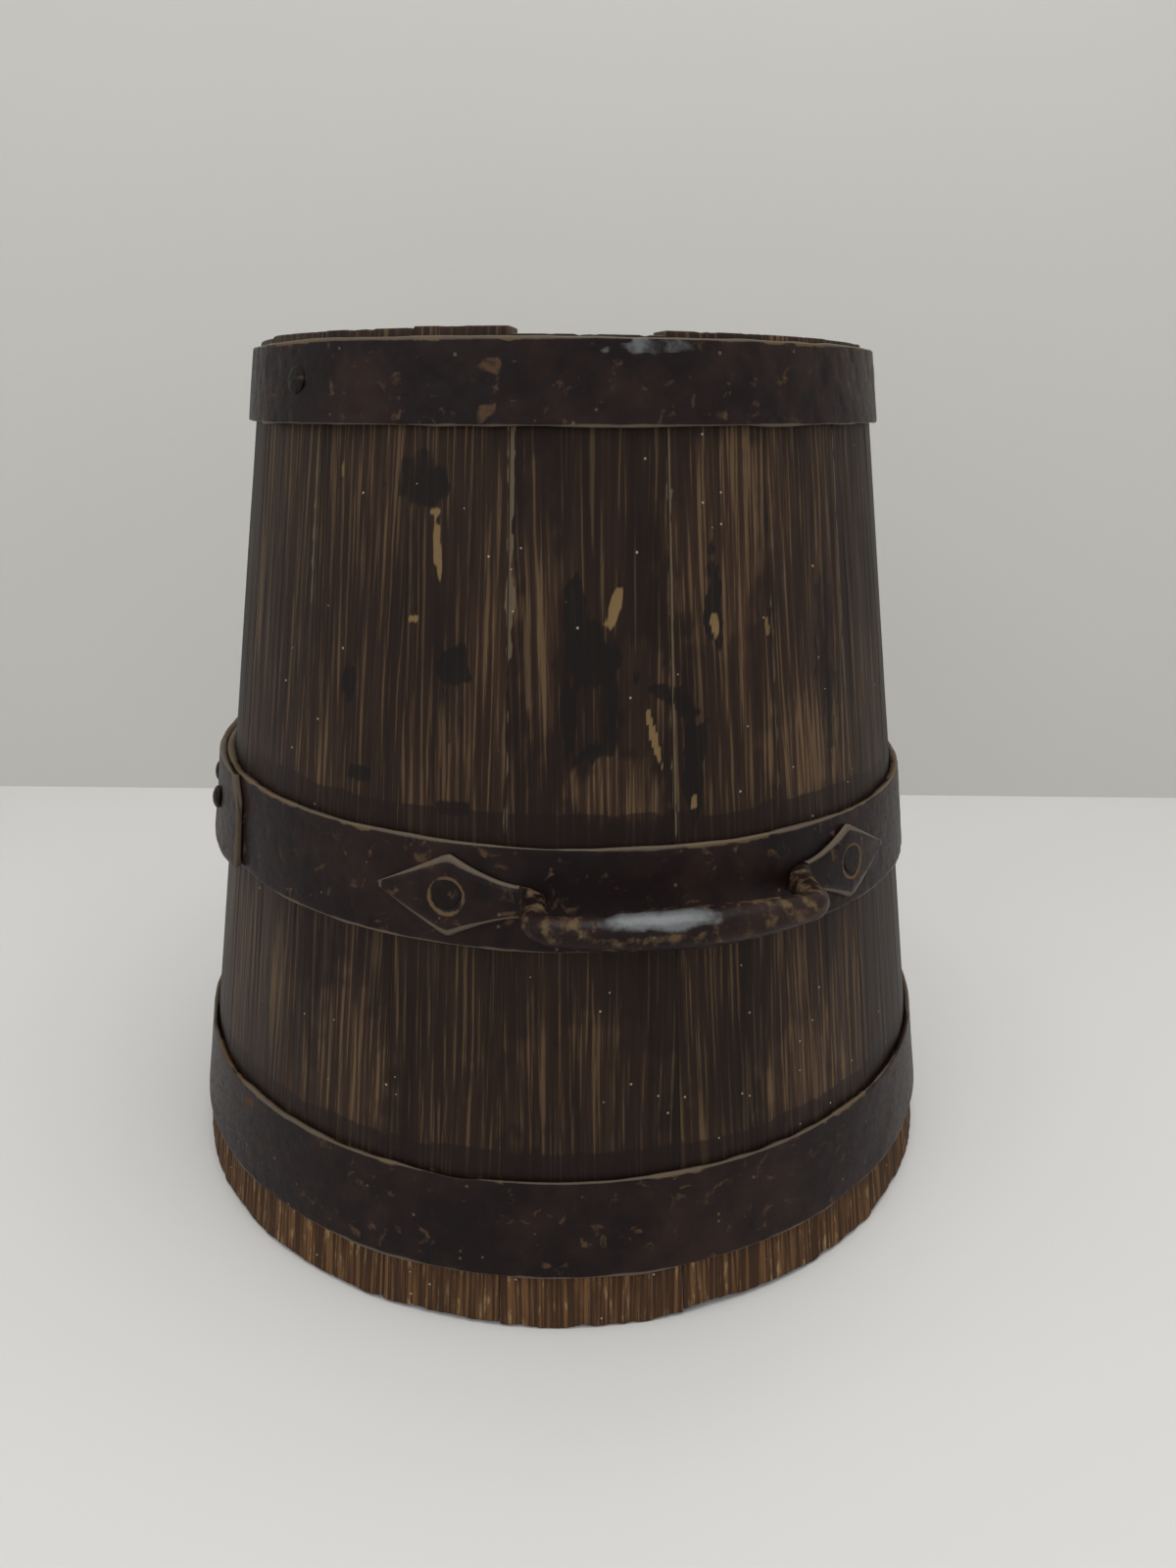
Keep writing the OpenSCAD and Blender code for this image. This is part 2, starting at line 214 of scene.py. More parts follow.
def tube_faces(stations: int, ring: int) -> Array:
    """Quads of a tube of rings, closed at both ends by quads across its ring.

    Args:
        stations: how many rings follow each other.
        ring: how many points each ring has, an even number.

    Returns:
        Rows of four point numbers, facing outwards where a ring runs anticlockwise seen from
        the tube's far end.
    """
    s, r = np.meshgrid(np.arange(stations - 1), np.arange(ring), indexing="ij")
    after = (r + 1) % ring
    walls = np.stack([s * ring + r, s * ring + after, (s + 1) * ring + after, (s + 1) * ring + r], -1)
    n = np.arange(ring // 2 - 1)
    cap = np.stack([n, ring - 1 - n, ring - 2 - n, n + 1], -1)
    last = cap[:, ::-1] + (stations - 1) * ring
    return np.concatenate([walls.reshape(-1, 4), cap, last])


@dataclass(frozen=True)
class Cone:
    """The staves' outer face, and the wall inside it."""

    foot_r: float = 201 * MM
    slope: float = 0.15125
    wall: float = 14 * MM
    croze_z: float = 44 * MM
    croze_depth: float = 5 * MM
    croze_root: float = 3 * MM
    croze_mouth: float = 4.5 * MM

    def outer(self, z: Array) -> Array:
        """Radius of the staves' outer face at height z."""
        return self.foot_r - self.slope * z

    def croze(self, z: Array) -> Array:
        """Depth of the floor's groove at height z: full over its root, none past its mouth."""
        away = np.abs(z - self.croze_z)
        return self.croze_depth * np.clip(
            (self.croze_mouth - away) / (self.croze_mouth - self.croze_root), 0, 1
        )


CONE = Cone()


class MarkKind(Enum):
    """What a mark on the wood is, and the channel that the wood's finish reads it from."""

    SOOT = 0
    CHIP = 1
    FILLER = 2
    PALE = 3


@dataclass(frozen=True)
class Mark:
    """One mark on the outside of the tub, as an oval that may lean."""

    kind: MarkKind
    azimuth: float
    z: float
    half_w: float
    half_h: float
    lean: float = 0.0
    slant: float = 0.0
    strength: float = 1.0

    def mask(self, azimuth: Array, z: Array, wobble: Array) -> Array:
        """Strength of the mark: 1 inside, easing to 0 over its rim, where the noise bends it.

        Args:
            azimuth: azimuths in degrees.
            z: heights.
            wobble: noise about 0 at the same places.

        Returns:
            The mark's strength at each place.
        """
        turn = (azimuth - self.azimuth + 180) % 360 - 180
        x = np.radians(turn) * CONE.outer(self.z)
        up = z - self.z
        x, up = x - self.lean * up, up - self.slant * x
        away = np.sqrt((x / self.half_w) ** 2 + (up / self.half_h) ** 2) + 0.35 * wobble
        return self.strength * (1 - ease(0.75, 1.1, away))


def mark(kind: MarkKind, azimuth: float, z: float, half_w: float, half_h: float, **more: float) -> Mark:
    """A mark whose height and half sizes are given in millimetres."""
    return Mark(kind, azimuth, z * MM, half_w * MM, half_h * MM, **more)


MARKS = [
    mark(MarkKind.SOOT, -30.4, 278, 8.5, 8),
    mark(MarkKind.SOOT, -30.6, 262, 5.5, 13, strength=0.5),
    mark(MarkKind.SOOT, -13.0, 298, 5.5, 15),
    mark(MarkKind.SOOT, -11.0, 284, 10.5, 13),
    mark(MarkKind.SOOT, -14.0, 258, 3.2, 18, strength=0.8),
    mark(MarkKind.SOOT, -11.0, 246, 9.5, 4.5, slant=0.35, strength=0.8),
    mark(MarkKind.SOOT, -8.2, 262, 3.4, 16, strength=0.8),
    mark(MarkKind.SOOT, 0.8, 265, 15, 5, slant=-0.55),
    mark(MarkKind.SOOT, 3.6, 240, 5.5, 21),
    mark(MarkKind.SOOT, 7.2, 302, 4.5, 20, strength=0.8),
    mark(MarkKind.SOOT, -47.6, 266, 4, 8, strength=0.8),
    mark(MarkKind.SOOT, -44.4, 231, 6, 3),
    mark(MarkKind.SOOT, -29.6, 222, 9.5, 4),
    mark(MarkKind.SOOT, -37.0, 348, 13, 11, strength=0.7),
    mark(MarkKind.SOOT, -34.2, 342, 7, 7),
    mark(MarkKind.SOOT, 29.0, 272, 8, 42, strength=0.6),
    mark(MarkKind.CHIP, -7.9, 298, 3.8, 9, lean=0.25),
    mark(MarkKind.CHIP, -2.0, 249, 1.5, 14, lean=-0.25),
    mark(MarkKind.CHIP, -33.4, 335.5, 4.5, 1.8),
    mark(MarkKind.CHIP, -33.2, 323, 1.7, 13, lean=-0.1),
    mark(MarkKind.CHIP, -36.4, 294.7, 2.2, 1.6),
    mark(MarkKind.CHIP, 7.4, 293, 2.2, 6, strength=0.8),
    mark(MarkKind.CHIP, 16.4, 290, 1.6, 5, strength=0.7),
    mark(MarkKind.CHIP, 3.6, 223.8, 1.5, 2.4),
    mark(MarkKind.CHIP, -50.5, 349, 1.6, 5, strength=0.6),
    mark(MarkKind.CHIP, -21.5, 283, 11, 1.8, strength=0.35),
    mark(MarkKind.PALE, -7.0, 230, 21, 17),
    mark(MarkKind.PALE, -3.5, 262, 13, 30, strength=0.55),
    mark(MarkKind.PALE, -18.5, 300, 9, 60, strength=0.45),
    mark(MarkKind.PALE, 23.0, 238, 26, 24, strength=0.55),
    mark(MarkKind.PALE, 9.0, 325, 26, 42, strength=0.45),
    mark(MarkKind.PALE, -12.0, 105, 42, 32, strength=0.4),
    mark(MarkKind.PALE, -45.0, 105, 24, 45, strength=0.5),
    mark(MarkKind.PALE, 20.0, 95, 28, 22, strength=0.5),
]


@dataclass(frozen=True)
class Filler:
    """A stretch of a joint between two staves that is filled with pale dirt."""

    azimuth: float
    low: float
    high: float
    half_w: float
    offset: float = 0.0
    strength: float = 1.0

    def mask(self, azimuth: Array, z: Array, wobble: Array) -> Array:
        """Strength of the filling at each place, broken by the noise."""
        turn = (azimuth - self.azimuth + 180) % 360 - 180
        x = np.abs(np.radians(turn) * CONE.outer(z) - self.offset)
        within = ease(self.low - 4 * MM, self.low, z) * (1 - ease(self.high, self.high + 4 * MM, z))
        return self.strength * within * (1 - ease(0.6, 1.3, x / self.half_w + 0.8 * wobble))


FILLERS = [
    Filler(-56, 297 * MM, 362 * MM, 1.0 * MM, -0.4 * MM, 0.75),
    Filler(-22.5, 283 * MM, 364 * MM, 1.2 * MM, 0.7 * MM, 0.85),
    Filler(-22.5, 214 * MM, 283 * MM, 0.6 * MM, 0.0, 0.5),
    Filler(0.5, 212 * MM, 364 * MM, 0.7 * MM, 0.3 * MM, 0.7),
    Filler(17.5, 216 * MM, 306 * MM, 0.6 * MM, -0.3 * MM, 0.6),
    Filler(34, 214 * MM, 364 * MM, 0.6 * MM, 0.3 * MM, 0.6),
]


class NodeHand:
    """Shorthand for building a node tree: each method adds a node and returns its output."""

    def __init__(self, tree: bpy.types.NodeTree) -> None:
        """Works in the given node tree."""
        self.tree = tree

    def node(self, kind: str, **inputs: object) -> bpy.types.Node:
        """Adds a node and fills its inputs.

        Args:
            kind: the node's type.
            inputs: values or outputs by input name, with _ for a space; a name such as i3 is
                the input's number.

        Returns:
            The node.
        """
        made = self.tree.nodes.new(kind)
        for name, value in inputs.items():
            key = int(name[1:]) if name[0] == "i" and name[1:].isdigit() else name.replace("_", " ")
            self.fill(made.inputs[key], value)
        return made

    def fill(self, target: bpy.types.NodeSocket, value: object) -> None:
        """Links an output to an input, or sets the input's value."""
        if isinstance(value, bpy.types.NodeSocket):
            self.tree.links.new(value, target)
        else:
            target.default_value = value

    def math(self, operation: str, a: object, b: object = 0.0) -> bpy.types.NodeSocket:
        """The result of a Math node."""
        made = self.node("ShaderNodeMath", i0=a, i1=b)
        made.operation = operation
        return made.outputs[0]

    def scaled(self, vector: object, factors: tuple[float, float, float]) -> bpy.types.NodeSocket:
        """The vector with each part times its factor."""
        made = self.node("ShaderNodeVectorMath", i0=vector, i1=factors)
        made.operation = "MULTIPLY"
        return made.outputs[0]

    def times(self, a: object, b: object) -> bpy.types.NodeSocket:
        """The product of a and b."""
        return self.math("MULTIPLY", a, b)

    def plus(self, a: object, b: object) -> bpy.types.NodeSocket:
        """The sum of a and b."""
        return self.math("ADD", a, b)

    def minus(self, a: object, b: object) -> bpy.types.NodeSocket:
        """What is left of a without b."""
        return self.math("SUBTRACT", a, b)

    def spread(self, value: object, width: float) -> bpy.types.NodeSocket:
        """A value from 0 to 1 laid about 0, over the width."""
        return self.times(self.minus(value, 0.5), width)

    def place(self) -> bpy.types.NodeSocket:
        """The point's place on its object, in metres."""
        return self.tree.nodes.new("ShaderNodeTexCoord").outputs["Object"]

    def noise(
        self, vector: object, scale: float, detail: float = 3.0, roughness: float = 0.55
    ) -> bpy.types.NodeSocket:
        """Noise from about 0.2 to 0.8 at the vector."""
        settings = {"Scale": scale, "Detail": detail, "Roughness": roughness}
        return self.node("ShaderNodeTexNoise", Vector=vector, **settings).outputs[0]

    def step(self, value: object, low: float, high: float) -> bpy.types.NodeSocket:
        """Rises smoothly from 0 at low to 1 at high."""
        made = self.node("ShaderNodeMapRange", Value=value, From_Min=low, From_Max=high)
        made.interpolation_type = "SMOOTHSTEP"
        return made.outputs[0]

    def mix(self, factor: object, a: object, b: object) -> bpy.types.NodeSocket:
        """Colour a turned into colour b by the factor."""
        made = self.tree.nodes.new("ShaderNodeMix")
        made.data_type = "RGBA"
        for index, value in ((0, factor), (6, a), (7, b)):
            self.fill(made.inputs[index], value)
        return made.outputs[2]

    def blend(self, factor: object, a: float, b: float) -> bpy.types.NodeSocket:
        """Number a turned into number b by the factor."""
        return self.node("ShaderNodeMapRange", Value=factor, To_Min=a, To_Max=b).outputs[0]

    def attribute(self, name: str) -> bpy.types.Node:
        """The Attribute node of one of the piece's own fields."""
        made = self.tree.nodes.new("ShaderNodeAttribute")
        made.attribute_name = name
        return made

    def parts(self, colour: bpy.types.NodeSocket) -> list[bpy.types.NodeSocket]:
        """The red, green and blue of a colour output."""
        return list(self.node("ShaderNodeSeparateColor", Color=colour).outputs)

    def bump(self, skin: bpy.types.Node, height: object, strength: float, distance: float) -> None:
        """Roughens a Principled BSDF by a Bump node."""
        made = self.node("ShaderNodeBump", Strength=strength, Distance=distance, Height=height)
        self.fill(skin.inputs["Normal"], made.outputs[0])

    def effect(self, effect: Effect, **inputs: object) -> bpy.types.Node:
        """Places an effect's node group with its own values."""
        made = self.tree.nodes.new("ShaderNodeGroup")
        made.node_tree = EFFECTS.get(effect)
        for name, value in inputs.items():
            self.fill(made.inputs[name.replace("_", " ")], value)
        return made


class Effect(Enum):
    """The shader node groups that several finishes share."""

    STREAKS = "streaks"
    SPECKS = "specks"
    PATCHES = "patches"


GroupStart = tuple[bpy.types.NodeTree, bpy.types.Node, bpy.types.Node]


class EffectLibrary:
    """Builds each shared node group once."""

    def __init__(self) -> None:
        """Starts with no group made."""
        self.made: dict[Effect, bpy.types.NodeTree] = {}

    def get(self, effect: Effect) -> bpy.types.NodeTree:
        """The node group of an effect, built at its first use."""
        if effect not in self.made:
            self.made[effect] = getattr(self, effect.value)()
        return self.made[effect]

    @staticmethod
    def start(name: str, inputs: dict[str, float | None], outputs: list[str]) -> GroupStart:
        """Makes a group with its sockets.

        Args:
            name: the group's name.
            inputs: each input's default value, or None for a vector.
            outputs: names of the outputs, which are numbers.

        Returns:
            The group, its input node and its output node.
        """
        tree = bpy.data.node_groups.new(name, "ShaderNodeTree")
        for label, value in inputs.items():
            kind = "NodeSocketVector" if value is None else "NodeSocketFloat"
            socket = tree.interface.new_socket(label, in_out="INPUT", socket_type=kind)
            if value is not None:
                socket.default_value = value
        for label in outputs:
            tree.interface.new_socket(label, in_out="OUTPUT", socket_type="NodeSocketFloat")
        return tree, tree.nodes.new("NodeGroupInput"), tree.nodes.new("NodeGroupOutput")

    def streaks(self) -> bpy.types.NodeTree:
        """Wood grain: noise drawn out along the stave, fine and broad."""
        tree, source, target = self.start("streaks", {"Grain": None, "Spacing": 2.5}, ["Fine", "Broad"])
        s = NodeHand(tree)
        grain = source.outputs["Grain"]
        per_metre = s.math("DIVIDE", 1000.0, source.outputs["Spacing"])
        stretch = s.node("ShaderNodeVectorMath", i0=s.scaled(grain, (1.0, 0.022, 0.3)), i1=(0.0, 0.0, 0.0))
        stretch.operation = "SCALE"
        s.fill(stretch.inputs[3], per_metre)
        bend = s.noise(s.scaled(grain, (9.0, 5.0, 9.0)), 1.0, 2.0)
        bent = s.node("ShaderNodeCombineXYZ", X=s.times(bend, 2.2))
        moved = s.node("ShaderNodeVectorMath", i0=stretch.outputs[0], i1=bent.outputs[0])
        fine = s.noise(moved.outputs[0], 1.0, 4.0, 0.6)
        broad = s.noise(s.scaled(moved.outputs[0], (0.25, 0.6, 0.25)), 1.0, 2.0)
        s.fill(target.inputs["Fine"], fine)
        s.fill(target.inputs["Broad"], broad)
        return tree

    def specks(self) -> bpy.types.NodeTree:
        """Small scattered dots: Voronoi cells of which only a few keep their dot."""
        inputs = {"Place": None, "Scale": 300.0, "Size": 0.22, "Share": 0.12}
        tree, source, target = self.start("specks", inputs, ["Mask"])
        s = NodeHand(tree)
        place, scale, size, share = (source.outputs[name] for name in inputs)
        cells = s.node("ShaderNodeTexVoronoi", Vector=place, Scale=scale)
        near = s.math("LESS_THAN", cells.outputs["Distance"], size)
        kept = s.math("LESS_THAN", s.parts(cells.outputs["Color"])[0], share)
        s.fill(target.inputs["Mask"], s.times(near, kept))
        return tree

    def patches(self) -> bpy.types.NodeTree:
        """Ragged patches: noise bent by finer noise, cut at a level."""
        inputs = {"Place": None, "Scale": 20.0, "Level": 0.55, "Edge": 0.06}
        tree, source, target = self.start("patches", inputs, ["Mask"])
        s = NodeHand(tree)
        place, scale, level, edge = (source.outputs[name] for name in inputs)
        settings = {"Detail": 5.0, "Roughness": 0.65, "Distortion": 0.6}
        cloud = s.node("ShaderNodeTexNoise", Vector=place, Scale=scale, **settings)
        above = s.minus(cloud.outputs[0], level)
        mask = s.plus(s.math("DIVIDE", above, edge), 0.5)
        clamped = s.node("ShaderNodeClamp", Value=mask)
        s.fill(target.inputs["Mask"], clamped.outputs[0])
        return tree


EFFECTS = EffectLibrary()


@dataclass(frozen=True)
class StaveFinish:
    """Old waxed wood with pale streaks, soot, chips, a grimy band over each hoop and a bare foot."""

    name: str = "stave_outside"
    dark: Colour = srgb(26, 16, 12)
    brown: Colour = srgb(60, 42, 30)
    streak: Colour = srgb(100, 79, 55)
    soot: Colour = srgb(20, 16, 14)
    chip: Colour = srgb(122, 99, 66)
    filler: Colour = srgb(96, 84, 66)
    grime: Colour = srgb(27, 17, 15)
    foot: Colour = srgb(102, 73, 47)
    foot_pale: Colour = srgb(152, 124, 86)
    speck: Colour = srgb(170, 155, 130)
    cloud_grain: tuple[float, float, float] = (30.0, 9.0, 30.0)
    ragged_grain: tuple[float, float, float] = (420.0, 60.0, 90.0)
    blotch_grain: tuple[float, float, float] = (260.0, 80.0, 260.0)
    streak_mm: float = 1.8
    waxed: float = 0.4
    dry: float = 0.8
    grain_gloss: float = 0.16
    specular: float = 0.12
    depth: float = 0.5 * MM

    def wood(
        self, s: NodeHand, grain: object, streaks: bpy.types.Node, pale: object, tone: object
    ) -> bpy.types.NodeSocket:
        """The wood's own colour: dark to brown by the clouds, with pale streaks where it is lighter.

        Args:
            s: the shorthand for the material's nodes.
            grain: the place along the grain.
            streaks: the group of the grain's streaks.
            pale: where the photographed wood is paler.
            tone: the stave's own tone.

        Returns:
            The colour.
        """
        fine, broad = streaks.outputs["Fine"], streaks.outputs["Broad"]
        cloud = s.noise(s.scaled(grain, self.cloud_grain), 1.0, 4.0)
        warmth = s.plus(s.times(pale, 0.4), s.times(tone, 0.5))
        lit = s.plus(s.plus(s.times(cloud, 0.9), s.times(broad, 0.7)), warmth)
        colour = s.mix(s.step(lit, 0.75, 1.65), self.dark, self.brown)
        sharp = s.step(s.plus(fine, s.times(warmth, 0.13)), 0.55, 0.68)
        faded = s.times(sharp, s.blend(s.step(lit, 0.6, 1.5), 0.12, 0.8))
        colour = s.mix(faded, colour, self.streak)
        furrows = s.step(s.minus(1.0, fine), 0.5, 0.62)
        return s.mix(s.times(furrows, 0.45), colour, self.dark)

    def bare_foot(self, s: NodeHand, grain: object, fine: object) -> bpy.types.NodeSocket:
        """The unwaxed foot's colour: tan with pale blotches, and brown between its streaks."""
        blotch = s.step(s.noise(s.scaled(grain, self.blotch_grain), 1.0, 4.0), 0.52, 0.68)
        tan = s.mix(blotch, self.foot, self.foot_pale)
        return s.mix(s.step(fine, 0.62, 0.45), tan, self.brown)

    def build(self) -> bpy.types.Material:
        """Makes the material: wood, then soot and grime, the foot, the chips and the filled joints."""
        material, s, skin = start_material(self.name)
        grain = s.attribute("grain").outputs["Vector"]
        marks = s.attribute("marks")
        soot, chip, filler = s.parts(marks.outputs["Color"])
        band, foot, tone = s.parts(s.attribute("zones").outputs["Color"])
        streaks = s.effect(Effect.STREAKS, Grain=grain, Spacing=self.streak_mm)
        fine = streaks.outputs["Fine"]
        ragged = s.spread(s.noise(s.scaled(grain, self.ragged_grain), 1.0, 3.0), 0.9)
        colour = self.wood(s, grain, streaks, marks.outputs["Alpha"], tone)

        sooty = s.step(s.plus(soot, ragged), 0.35, 0.75)
        grimy = s.step(s.plus(band, s.times(ragged, 0.3)), 0.35, 0.6)
        unwaxed = s.step(foot, 0.3, 0.7)
        chipped = s.step(s.plus(chip, s.times(ragged, 0.7)), 0.42, 0.8)
        filled = s.step(s.plus(filler, ragged), 0.35, 0.6)
        specks = s.effect(Effect.SPECKS, Place=s.place(), Scale=260.0, Size=0.13, Share=0.05)
        colour = s.mix(s.times(sooty, 0.88), colour, self.soot)
        colour = s.mix(s.times(grimy, 0.72), colour, self.grime)
        colour = s.mix(unwaxed, colour, self.bare_foot(s, grain, fine))
        colour = s.mix(s.times(chipped, 0.85), colour, self.chip)
        colour = s.mix(s.times(filled, 0.85), colour, self.filler)
        colour = s.mix(s.times(specks.outputs["Mask"], 0.7), colour, self.speck)
        s.fill(skin.inputs["Base Color"], colour)

        matt = s.math("MAXIMUM", unwaxed, s.math("MAXIMUM", chipped, filled))
        rough = s.plus(s.blend(matt, self.waxed, self.dry), s.times(fine, self.grain_gloss))
        s.fill(skin.inputs["Roughness"], rough)
        skin.inputs["Specular IOR Level"].default_value = self.specular
        s.bump(skin, s.minus(fine, s.times(chipped, 0.5)), 0.6, self.depth)
        return material


@dataclass(frozen=True)
class PlainWoodFinish:
    """Dry wood of the inside, the ends and the floor."""

    name: str
    dark: Colour
    brown: Colour
    streak: Colour
    spacing: float = 3.0
    cloud_grain: tuple[float, float, float] = (26.0, 12.0, 60.0)
    smooth: float = 0.6
    dry: float = 0.9
    depth: float = 0.4 * MM

    def build(self) -> bpy.types.Material:
        """Makes the material: dark to brown by broad clouds, with pale streaks along the grain."""
        material, s, skin = start_material(self.name)
        grain = s.attribute("grain").outputs["Vector"]
        streaks = s.effect(Effect.STREAKS, Grain=grain, Spacing=self.spacing)
        fine, broad = streaks.outputs["Fine"], streaks.outputs["Broad"]
        cloud = s.noise(s.scaled(grain, self.cloud_grain), 1.0, 4.0)
        colour = s.mix(s.step(s.plus(broad, cloud), 0.8, 1.25), self.dark, self.brown)
        colour = s.mix(s.times(s.step(fine, 0.5, 0.72), 0.7), colour, self.streak)
        s.fill(skin.inputs["Base Color"], colour)
        s.fill(skin.inputs["Roughness"], s.blend(fine, self.smooth, self.dry))
        s.bump(skin, fine, 0.6, self.depth)
        return material


@dataclass(frozen=True)
class IronFinish:
    """Forged iron with a dark patina, pits and rust, edges paled by rubbing with a painted edge highlight,
    and a bluish bare patch that is rubbing plus a painted highlight.
    """

    name: str
    black: Colour = srgb(24, 15, 15)
    brown: Colour = srgb(42, 28, 24)
    rust: Colour = srgb(84, 64, 46)
    # pale colour of edges and nicks: rubbing, and on edges also a painted edge highlight
    rubbed_and_highlight: Colour = srgb(98, 86, 72)
    # bluish bare patch: rubbing plus a painted highlight
    steel_and_highlight: Colour = srgb(98, 99, 99)
    crust: Colour = srgb(92, 75, 52)
    rust_level: float = 0.64
    rust_scale: float = 110.0
    grit_scale: float = 420.0
    mid_scale: float = 70.0
    broad_scale: float = 16.0
    crust_scale: float = 160.0
    pit: float = 0.35 * MM
    gloss: float = 0.42
    matt: float = 0.85
    specular: float = 0.12

    def build(self) -> bpy.types.Material:
        """Makes the material: patina, rust, a bluish bare patch of rubbing plus a painted highlight, crust,
        pale edges of rubbing plus a painted edge highlight, and small nicks.
        """
        material, s, skin = start_material(self.name)
        place = s.place()
        # channels of the field: edges pale from rubbing plus a painted edge highlight; a bluish bare patch of
        # rubbing plus a painted highlight; crust
        edge, worn_and_highlight, crust = s.parts(s.attribute("wear_and_highlight").outputs["Color"])
        grit = s.noise(place, self.grit_scale, 5.0, 0.65)
        mid = s.noise(place, self.mid_scale, 5.0, 0.6)
        broad = s.noise(place, self.broad_scale, 3.0)
        cracked = s.noise(place, self.crust_scale, 4.0)

        patches = {"Scale": self.rust_scale, "Level": self.rust_level, "Edge": 0.08}
        rusty = s.effect(Effect.PATCHES, Place=place, **patches).outputs["Mask"]
        # painted highlight mixed with rubbing: the bluish bare patch on the top hoop and the handle bar's
        # upper side
        steel_and_highlight = s.step(s.plus(worn_and_highlight, s.spread(mid, 1.2)), 0.35, 0.7)
        crusty = s.step(s.plus(crust, s.spread(cracked, 1.6)), 0.4, 0.75)
        # painted edge highlight mixed with rubbing: a pale band along the marked edges
        line = s.step(s.plus(edge, s.spread(mid, 0.8)), 0.45, 0.85)
        nicks = s.effect(Effect.SPECKS, Place=place, Scale=230.0, Size=0.17, Share=0.07)
        tone = s.step(s.plus(broad, s.times(mid, 0.8)), 0.75, 1.2)
        colour = s.mix(tone, self.black, self.brown)
        colour = s.mix(s.times(rusty, 0.75), colour, self.rust)
        colour = s.mix(steel_and_highlight, colour, self.steel_and_highlight)
        colour = s.mix(s.times(crusty, 0.9), colour, self.crust)
        colour = s.mix(s.times(line, 0.75), colour, self.rubbed_and_highlight)
        colour = s.mix(s.times(nicks.outputs["Mask"], 0.55), colour, self.rubbed_and_highlight)
        s.fill(skin.inputs["Base Color"], colour)
        s.fill(skin.inputs["Metallic"], s.times(steel_and_highlight, 0.3))
        skin.inputs["Specular IOR Level"].default_value = self.specular
        dull = s.math("MAXIMUM", rusty, crusty)
        s.fill(skin.inputs["Roughness"], s.plus(s.blend(dull, self.gloss, self.matt), s.spread(grit, 0.4)))
        s.bump(skin, s.plus(s.times(grit, 0.5), s.times(mid, 0.8)), 0.8, self.pit)
        return material


def start_material(name: str) -> tuple[bpy.types.Material, NodeHand, bpy.types.Node]:
    """Starts a material with nodes.

    Args:
        name: the material's name.

    Returns:
        The material, the shorthand for its nodes, and its Principled BSDF.
    """
    material = bpy.data.materials.new(name)
    material.use_nodes = True
    return material, NodeHand(material.node_tree), material.node_tree.nodes["Principled BSDF"]


@dataclass(frozen=True)
class HoopShape:
    """One strap hoop's sizes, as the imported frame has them."""

    node: str
    mid_z: float
    width: float
    thick: float
    lap: float
    lap_at: float
    way: int
    tilt: float
    low_side: float
    seed: int
    clip: float = 0.0
    skew: float = 0.0
    wobble: float = 0.7 * MM
    bumps: float = 0.22 * MM
    seat: float = 0.2 * MM
    joggle: float = 14 * MM
    tail_gap: float = 1 * MM

    def rise(self, azimuth: Array) -> Array:
        """Height of the strap's middle line over its mean, by the hoop's tilt."""
        low = np.radians(azimuth - self.low_side)
        return -math.tan(math.radians(self.tilt)) * CONE.outer(self.mid_z) * np.cos(low)

    def top(self, azimuth: Array) -> Array:
        """Height of the strap's upper edge."""
        return self.mid_z + self.width / 2 + self.rise(azimuth)

    def foot(self, azimuth: Array) -> Array:
        """Height of the strap's lower edge."""
        return self.mid_z - self.width / 2 + self.rise(azimuth)


HOOPS = {
    "top": HoopShape(
        "top_hoop",
        mid_z=381.1 * MM,
        width=30.6 * MM,
        thick=3 * MM,
        lap=58 * MM,
        lap_at=-70.7,
        way=1,
        tilt=0.36,
        low_side=-90,
        seed=11,
        bumps=0.3 * MM,
    ),
    "middle": HoopShape(
        "middle_hoop",
        mid_z=188 * MM,
        width=42 * MM,
        thick=3.5 * MM,
        lap=108 * MM,
        lap_at=-70.7,
        way=-1,
        tilt=1.25,
        low_side=90,
        seed=12,
        clip=9 * MM,
        skew=0.08,
    ),
    "bottom": HoopShape(
        "bottom_hoop",
        mid_z=49.1 * MM,
        width=43.4 * MM,
        thick=2.6 * MM,
        lap=96 * MM,
        lap_at=152,
        way=-1,
        tilt=0.55,
        low_side=-42,
        seed=13,
        bumps=0.12 * MM,
        wobble=1.0 * MM,
    ),
}


